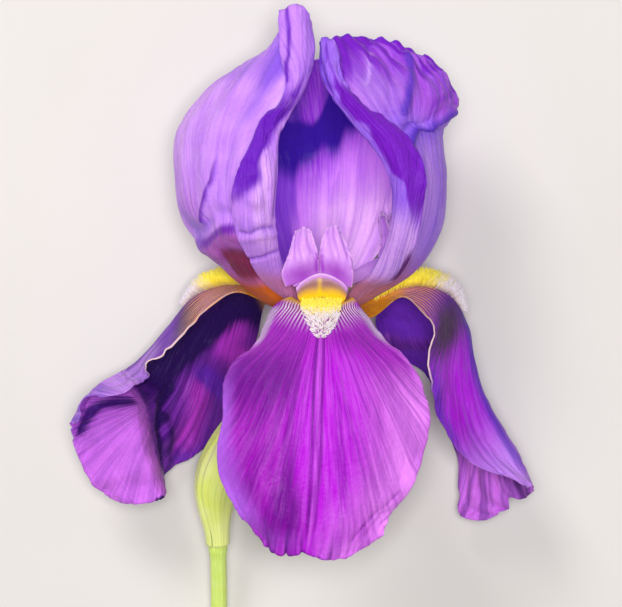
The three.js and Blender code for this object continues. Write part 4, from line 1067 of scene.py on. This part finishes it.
# The lip's rim, and the translucent membrane that hangs from it down to the beard
LIP_AND_MEMBRANE = [
  [[-6.3, 3.1, 20.0], [-4.7, 4.9, 20.0], [-2.6, 6.2, 20.0], [-0.4, 6.7, 20.0], [1.9, 6.3, 20.0],
    [4.3, 5.0, 20.0], [6.1, 3.0, 20.0]],
  [[-6.2, 1.9, 20.6], [-4.7, 3.5, 21.0], [-2.6, 4.7, 21.2], [-0.4, 5.2, 21.3], [1.9, 4.8, 21.2],
    [4.3, 3.6, 21.0], [6.0, 1.8, 20.6]],
  [[-5.9, 0.5, 19.6], [-4.4, 1.8, 20.3], [-2.5, 2.7, 20.6], [-0.4, 3.1, 20.8], [1.8, 2.8, 20.6],
    [4.0, 1.9, 20.3], [5.7, 0.4, 19.6]],
  [[-4.9, -0.9, 18.0], [-3.8, -0.1, 18.8], [-2.2, 0.5, 19.2], [-0.4, 0.8, 19.4], [1.6, 0.5, 19.2],
    [3.5, -0.1, 18.8], [4.7, -1.0, 18.0]],
]


def leaned(rows, column, shifts):
    """The net with one of its side columns moved sideways, row by row from the foot up."""
    return [[[x + shift * (i == column), y, z] for i, (x, y, z) in enumerate(row)]
            for row, shift in zip(rows, shifts)]


# In the opening the crests draw in above the middle, and the left one spreads at its foot
STYLE_PARTS = {
    "arm": ARM,
    "left crest": leaned(CREST_LEFT, 0, (-2.0, -0.3, 1.2, 1.4, 0.4)),
    "right crest": leaned(CREST_RIGHT, 2, (0.4, 0.1, -0.5, -0.8, -0.6)),
    "lip": LIP_AND_MEMBRANE,
}


def arm_places(rows, azimuth):
    width, reach, climb = (1, 1, 0) if azimuth == 0 else (SIDE_WIDTH, SIDE_REACH, SIDE_RISE)
    return [[turned(azimuth, across * width, height + climb * out, out * reach)
             for across, height, out in row] for row in rows]


def style_finish():
    flush = (164, 66, 204)
    material, tree, shader = empty_finish("style arm skin", 0.42, 0.35, 0.25, 0.35, (250, 230, 255))
    veins = placed(tree, VEINS, Vector=on_petal(tree), Count=9.0, Length=1.5, Shift=4.0)
    patches = placed(tree, MOTTLING, Scale=260.0, Softness=0.25)["Mask"]
    colour = blend(tree, times(tree, patches, 0.5), paint((216, 152, 246)), paint((232, 178, 252)))
    colour = washed(tree, colour, flush, stain(tree, "flush"))
    colour = washed(tree, colour, flush, times(tree, veins["Mask"], 0.22))
    for key, tone in (("cream", (158, 112, 118)), ("gold", (255, 210, 26)), ("rim", (250, 206, 238))):
        colour = washed(tree, colour, tone, stain(tree, key))
    colour_skin(tree, shader, colour)
    relief(tree, shader, placed(tree, CREPE, Fineness=1600.0, Vein_Height=veins["Height"])["Height"], 0.2)
    return material


def style_stains(form, s, t, edge):
    if form == "arm":
        return {"flush": 0.35 * rise(0.6, 1, t), "cream": 0.8 * rise(0.7, 0.2, t)}
    if form == "lip":
        middle = np.abs(s - 0.48)
        return {"flush": 0.7 * rise(0.14, 0.08, t), "cream": rise(0.2, 0.4, t), "rim": hump(0.15, 0.045, t),
                "gold": rise(0.55, 1.0, t + 0.5 * middle) + 0.5 * hump(0, 0.04, middle) * rise(0.25, 0.4, t)}
    # Along each crest's inner edge, where the two crests meet, the flush is partly painted shade in the cleft
    # between them.
    seam = rise(0.2, 0, 1 - s if form == "left crest" else s) * window(0.05, 0.55, 0.1, t)
    return {"flush": 0.95 * rise(0.5, 0.1, t) * (1 - 0.4 * np.abs(2 * s - 1)) + 0.9 * seam,
            "rim": 0.3 * rise(0.6, 0, edge)}


def style():
    whole = bmesh.new()
    whole.loops.layers.uv.new("petal")
    stains = {"flush": [], "cream": [], "rim": [], "gold": []}
    for azimuth in (0, -120, 120):
        for form, rows in STYLE_PARTS.items():
            crest = "crest" in form
            surface = partial(on_net, arm_places(rows, azimuth))
            bm, s, t = grid_of(40, 24 if form == "lip" else 48)
            normal, span = facing(surface, s, t)
            edge = np.minimum(np.minimum(s, 1 - s) * span, (1 - t) * 12 if crest else 9)
            lift = 0.05 * uneven(77, s * 14, t * 5)
            if crest:
                ruffle = 0.45 * rise(1.6, 0, edge) * rise(0.15, 0.4, t)
                lift += ruffle * uneven(azimuth + 500, t * 16 + s * 3, s * 12)
                fold = 0.25 * np.sin(math.tau * (s * 3 + t))
                lift += fold * rise(0.2, 0.6, t) * rise(0, 0.2, s * (1 - s))
            put(bm, surface(s, t) + normal * lift[:, None])
            made = style_stains(form, s, t, edge)
            for key, values in stains.items():
                values += list(made.get(key, 0 * s))
            part = bpy.data.meshes.new("style part")
            bm.to_mesh(part)
            bm.free()
            whole.from_mesh(part)
            bpy.data.meshes.remove(part)
    finish_piece("style_arms", whole, "style", [style_finish()], stains, STYLE_THICKNESS)


style()


# Round pieces bent along a curve

def curve_through(points):
    """A dense line through the given points, with the length along it at each of its places."""
    given = np.array(points, float)
    ends = np.concatenate([[2 * given[0] - given[1]], given, [2 * given[-1] - given[-2]]])
    line = [given[0]]
    for p0, p1, p2, p3 in zip(ends, ends[1:], ends[2:], ends[3:]):
        d0, d1, d2 = (max(np.sqrt(np.linalg.norm(b - a)), NO_LENGTH)
                      for a, b in ((p0, p1), (p1, p2), (p2, p3)))
        m1 = ((p1 - p0) / d0 - (p2 - p0) / (d0 + d1) + (p2 - p1) / d1) * d1
        m2 = ((p2 - p1) / d1 - (p3 - p1) / (d1 + d2) + (p3 - p2) / d2) * d1
        for f in np.linspace(0, 1, CURVE_PIECES + 1)[1:]:
            line.append(p1 + m1 * f + (3 * (p2 - p1) - 2 * m1 - m2) * f**2 + (2 * (p1 - p2) + m1 + m2) * f**3)
    line = np.array(line)
    lengths = np.concatenate([[0], np.cumsum(np.linalg.norm(np.diff(line, axis=0), axis=1))])
    return line, lengths


def along(curve, length):
    """Points on a curve at these lengths, and the sideways and forward directions there."""
    line, lengths = curve
    place = lambda at: np.stack([np.interp(at, lengths, line[:, k]) for k in range(3)], 1)
    step = 0.4
    inside = np.clip(length, step, lengths[-1] - step)
    tangent = unit(place(inside + step) - place(inside - step))
    side = unit(np.cross(tangent, [0, 0, 1]))
    return place(length), side, np.cross(side, tangent)


def round_it(curve, length, radius, angle):
    """Points at these angles and radii round a curve."""
    centre, side, front = along(curve, length)
    return centre + side * (radius * np.cos(angle))[:, None] + front * (radius * np.sin(angle))[:, None]


def bent(name, node_name, material, curve, start, stop, sides, steps, radius_at):
    """A rod bent along part of a curve, as thick as radius_at says for each place and angle."""
    bm = bmesh.new()
    bmesh.ops.create_cone(bm, cap_ends=True, segments=sides, radius1=1, radius2=1, depth=1)
    walls = [e for e in bm.edges if abs(e.verts[0].co.z - e.verts[1].co.z) > 0.5]
    bmesh.ops.subdivide_edges(bm, edges=walls, cuts=steps - 1)
    rims = [f for f in bm.faces if len(f.verts) == sides]
    bmesh.ops.inset_region(bm, faces=rims, thickness=0.25, use_even_offset=True)
    flat = np.array([v.co for v in bm.verts])
    t, angle = flat[:, 2] + 0.5, np.arctan2(flat[:, 1], flat[:, 0])
    radius = radius_at(t, angle) * np.hypot(flat[:, 0], flat[:, 1])
    put(bm, round_it(curve, start + (stop - start) * t, radius, angle))
    bmesh.ops.recalc_face_normals(bm, faces=bm.faces)
    finish_piece(name, bm, node_name, [material], {"along": t, "round": (angle / math.tau) % 1})


def stem_finish(name, body, light, streak, waxy=0.3):
    """Green skin with faint lengthwise ribs and a grey bloom."""
    material, tree, shader = empty_finish(name, 0.42, 0.2, 0.1, 0.4)
    place = node(tree, "ShaderNodeCombineXYZ", {0: stain(tree, "round"), 1: stain(tree, "along")}).outputs[0]
    ribs = placed(tree, VEINS, Vector=place, Count=34.0, Length=3.0, Shift=1.0)
    patches = placed(tree, MOTTLING, Scale=220.0, Softness=0.3)["Mask"]
    colour = blend(tree, patches, paint(body), paint(light))
    colour = washed(tree, colour, streak, times(tree, ribs["Mask"], 0.4))
    colour = washed(tree, colour, (226, 236, 214), times(tree, patches, waxy * 0.4))
    colour_skin(tree, shader, colour)
    relief(tree, shader, ribs["Height"], 0.12)
    return material


AXIS = curve_through([
    (0, 0, 0), (0, -4.5, 0), (0, -9, -0.3), (-3.5, -15.5, -2.2), (-11, -24.5, -6.5),
    (-21.6, -35.5, -12), (-27.4, -48, -17), (-26.8, -62, -21.5), (-26.6, -78, -26.2), (-27, -112, -33.5)])
AXIS_LENGTH = AXIS[1][-1]
OVARY_TOP = TUBE_TOP + TUBE_LENGTH
STALK_TOP = OVARY_TOP + OVARY_LENGTH
SPATHE_FOOT = STALK_TOP + SPATHE_DROP


def tube_radius(t, angle):
    flare = (TUBE_TOP_RADIUS - TUBE_RADIUS) * rise(0.35, 1, 1 - t)
    return TUBE_RADIUS + flare + 0.12 * np.cos(6 * angle)


def ovary_radius(t, angle):
    swell = OVARY_RADIUS - OVARY_END_RADIUS + 0.35 * np.cos(3 * angle) + 0.1 * np.cos(6 * angle)
    return OVARY_END_RADIUS + np.sin(math.pi * t) * swell


def stalk_radius(t, angle):
    swelling = 0.35 * hump(SPATHE_FOOT + 1.5, 1.6, STALK_TOP + (AXIS_LENGTH - STALK_TOP) * t)
    return STALK_RADIUS + swelling + 0.03 * np.cos(12 * angle)


def stamen_radius(t, angle):
    """A slender filament, and a long anther of two lobes with a furrow between them."""
    anther = np.sin(math.pi * np.clip((t - 0.5) * 1.7, 0, 1) ** 0.6)
    return 0.42 + anther * (0.34 + 0.14 * np.cos(2 * angle))


bent("tube", "perianth_tube",
     stem_finish("perianth tube skin", body=(140, 122, 172), light=(160, 158, 150), streak=(104, 72, 150)),
     AXIS, TUBE_TOP, OVARY_TOP - CLEARANCE, sides=48, steps=40, radius_at=tube_radius)
bent("ovary_body", "ovary",
     stem_finish("ovary skin", body=(122, 168, 62), light=(146, 186, 84), streak=(92, 140, 48)),
     AXIS, OVARY_TOP, STALK_TOP - CLEARANCE, sides=60, steps=40, radius_at=ovary_radius)
bent("stem", "stalk",
     stem_finish("stalk skin", body=(214, 242, 104), light=(230, 250, 132), streak=(176, 212, 80)),
     AXIS, STALK_TOP, AXIS_LENGTH, sides=48, steps=120, radius_at=stalk_radius)

STAMEN = stem_finish("stamen skin", (240, 228, 178), (250, 242, 206), (214, 190, 120), waxy=0.1)
# Out from the axis, and up
STAMEN_PATH = [(3.3, SEAT_HEIGHT), (3.7, -1.6), (6, 0.6), (9.5, 1.9), (14, 2.8), (18, 3.7)]
for name, azimuth in (("stamen_front", 0), ("stamen_left", -120), ("stamen_right", 120)):
    climb = 0 if azimuth == 0 else SIDE_RISE
    filament = curve_through([turned(azimuth, 0, height + climb * out, out) for out, height in STAMEN_PATH])
    bent(name + "_anther", name, STAMEN, filament, 0, filament[1][-1], sides=20, steps=50,
         radius_at=stamen_radius)


# The spathe: two papery green valves that wrap the ovary and part round the tube

def spathe_finish():
    material, tree, shader = empty_finish("spathe valve", 0.45, 0.3, 0.15, 0.4)
    veins = placed(tree, VEINS, Vector=on_petal(tree), Count=20.0, Length=1.2, Shift=6.0)
    patches = placed(tree, MOTTLING, Scale=140.0, Softness=0.25)["Mask"]
    colour = blend(tree, patches, paint((236, 250, 118)), paint((246, 254, 158)))
    colour = washed(tree, colour, (190, 218, 92), times(tree, veins["Mask"], 0.35))
    colour = washed(tree, colour, (222, 220, 186), stain(tree, "papery"))
    colour_skin(tree, shader, colour)
    relief(tree, shader, veins["Height"], 0.2)
    return material


SPATHE = spathe_finish()


def spathe(name, faces, wrap, swell, lean, length, seed):
    """A valve that faces an angle round the stalk and wraps it by an angle to each side, in degrees.
    It swells over the ovary and leans away at its tip, both in mm."""
    bm, s, t = grid_of(90, 170)
    reach = length * t
    half = wrap * (1 + 0.2 * rise(25, 40, reach)) * (1 - 0.9 * rise(0.6, 1, t))
    angle = np.radians(faces + (2 * s - 1) * half)
    radius = STALK_RADIUS + CLEARANCE + 0.45 + swell * rise(0, 24, reach) + lean * rise(0.55, 1, t)
    radius += 0.12 * np.cos(10 * angle) * rise(0, 0.15, t)
    radius += 0.15 * uneven(seed, s * 5, t * 9) * rise(0.1, 0.3, t)
    put(bm, round_it(AXIS, SPATHE_FOOT - reach, radius, angle))
    edge = np.minimum(s, 1 - s) * 2 * np.radians(half) * radius
    papery = 0.9 * rise(2.2, 0.6, edge) * rise(0.25, 0.5, t)
    papery += 0.8 * rise(0.86, 0.97, t) + 0.35 * hump(0.5, 0.08, s)
    finish_piece(name + "_leaf", bm, name, [SPATHE], {"papery": papery}, SPATHE_THICKNESS)


spathe("spathe_outer", faces=165, wrap=98, swell=5.2, lean=1.8, length=70, seed=61)
spathe("spathe_inner", faces=-15, wrap=74, swell=2.7, lean=2, length=61, seed=62)


# The table, the light and the camera, in metres

TABLE_HALF_WIDTH = 2.0
LAMP_AIM = Vector((0.002, 0.01, 0.03))
WARM_WHITE = (1.0, 0.98, 0.98)
# The photograph's view: straight down from 700 mm above the throat, and 155.5 mm wide there
SENSOR_WIDTH = 36
EYE_DISTANCE = 700
VIEW_WIDTH = 155.5
EYE = (0.00205, 0.019025, 0.736)


def table_finish():
    material, tree, shader = empty_finish("pale table", 0.7, 0, 0, 0.2)
    patches = noise(tree, in_place(tree), 9.0, 4.0)
    colour_skin(tree, shader, blend(tree, patches, paint((222, 220, 214)), paint((232, 230, 226))))
    return material


def table():
    bm = bmesh.new()
    bmesh.ops.create_grid(bm, x_segments=4, y_segments=4, size=TABLE_HALF_WIDTH)
    mesh = bpy.data.meshes.new("table")
    bm.to_mesh(mesh)
    bm.free()
    mesh.materials.append(table_finish())
    top = bpy.data.objects.new("table", mesh)
    SCENE.collection.objects.link(top)
    top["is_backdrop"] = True


def lamp(name, place, power, size, tint):
    light = bpy.data.lights.new(name, "AREA")
    light.energy = power
    light.size = size
    light.color = tint
    holder = bpy.data.objects.new(name, light)
    holder.location = place
    holder.rotation_euler = (LAMP_AIM - Vector(place)).to_track_quat("-Z", "Y").to_euler()
    SCENE.collection.objects.link(holder)


table()
lamp("sky", place=(-0.35, 0.6, 0.8), power=4.0, size=0.35, tint=(1.0, 0.97, 0.94))
lamp("fill", place=(0.02, 0.03, 1.1), power=8.0, size=0.24, tint=WARM_WHITE)
world = bpy.data.worlds.new("studio")
world.use_nodes = True
air = world.node_tree.nodes["Background"]
air.inputs["Color"].default_value = (*WARM_WHITE, 1)
air.inputs["Strength"].default_value = 0.2
SCENE.world = world
SCENE.view_settings.view_transform = "Standard"
SCENE.view_settings.look = "None"

camera = bpy.data.cameras.new("photograph")
camera.sensor_width = SENSOR_WIDTH
camera.lens = SENSOR_WIDTH * EYE_DISTANCE / VIEW_WIDTH
eye = bpy.data.objects.new("photograph", camera)
eye.location = EYE
SCENE.collection.objects.link(eye)
SCENE.camera = eye

visual_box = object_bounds()
({"cad_box": [list(corner) for corner in CAD_BOX],
           "visual_box": [list(corner) for corner in visual_box]})
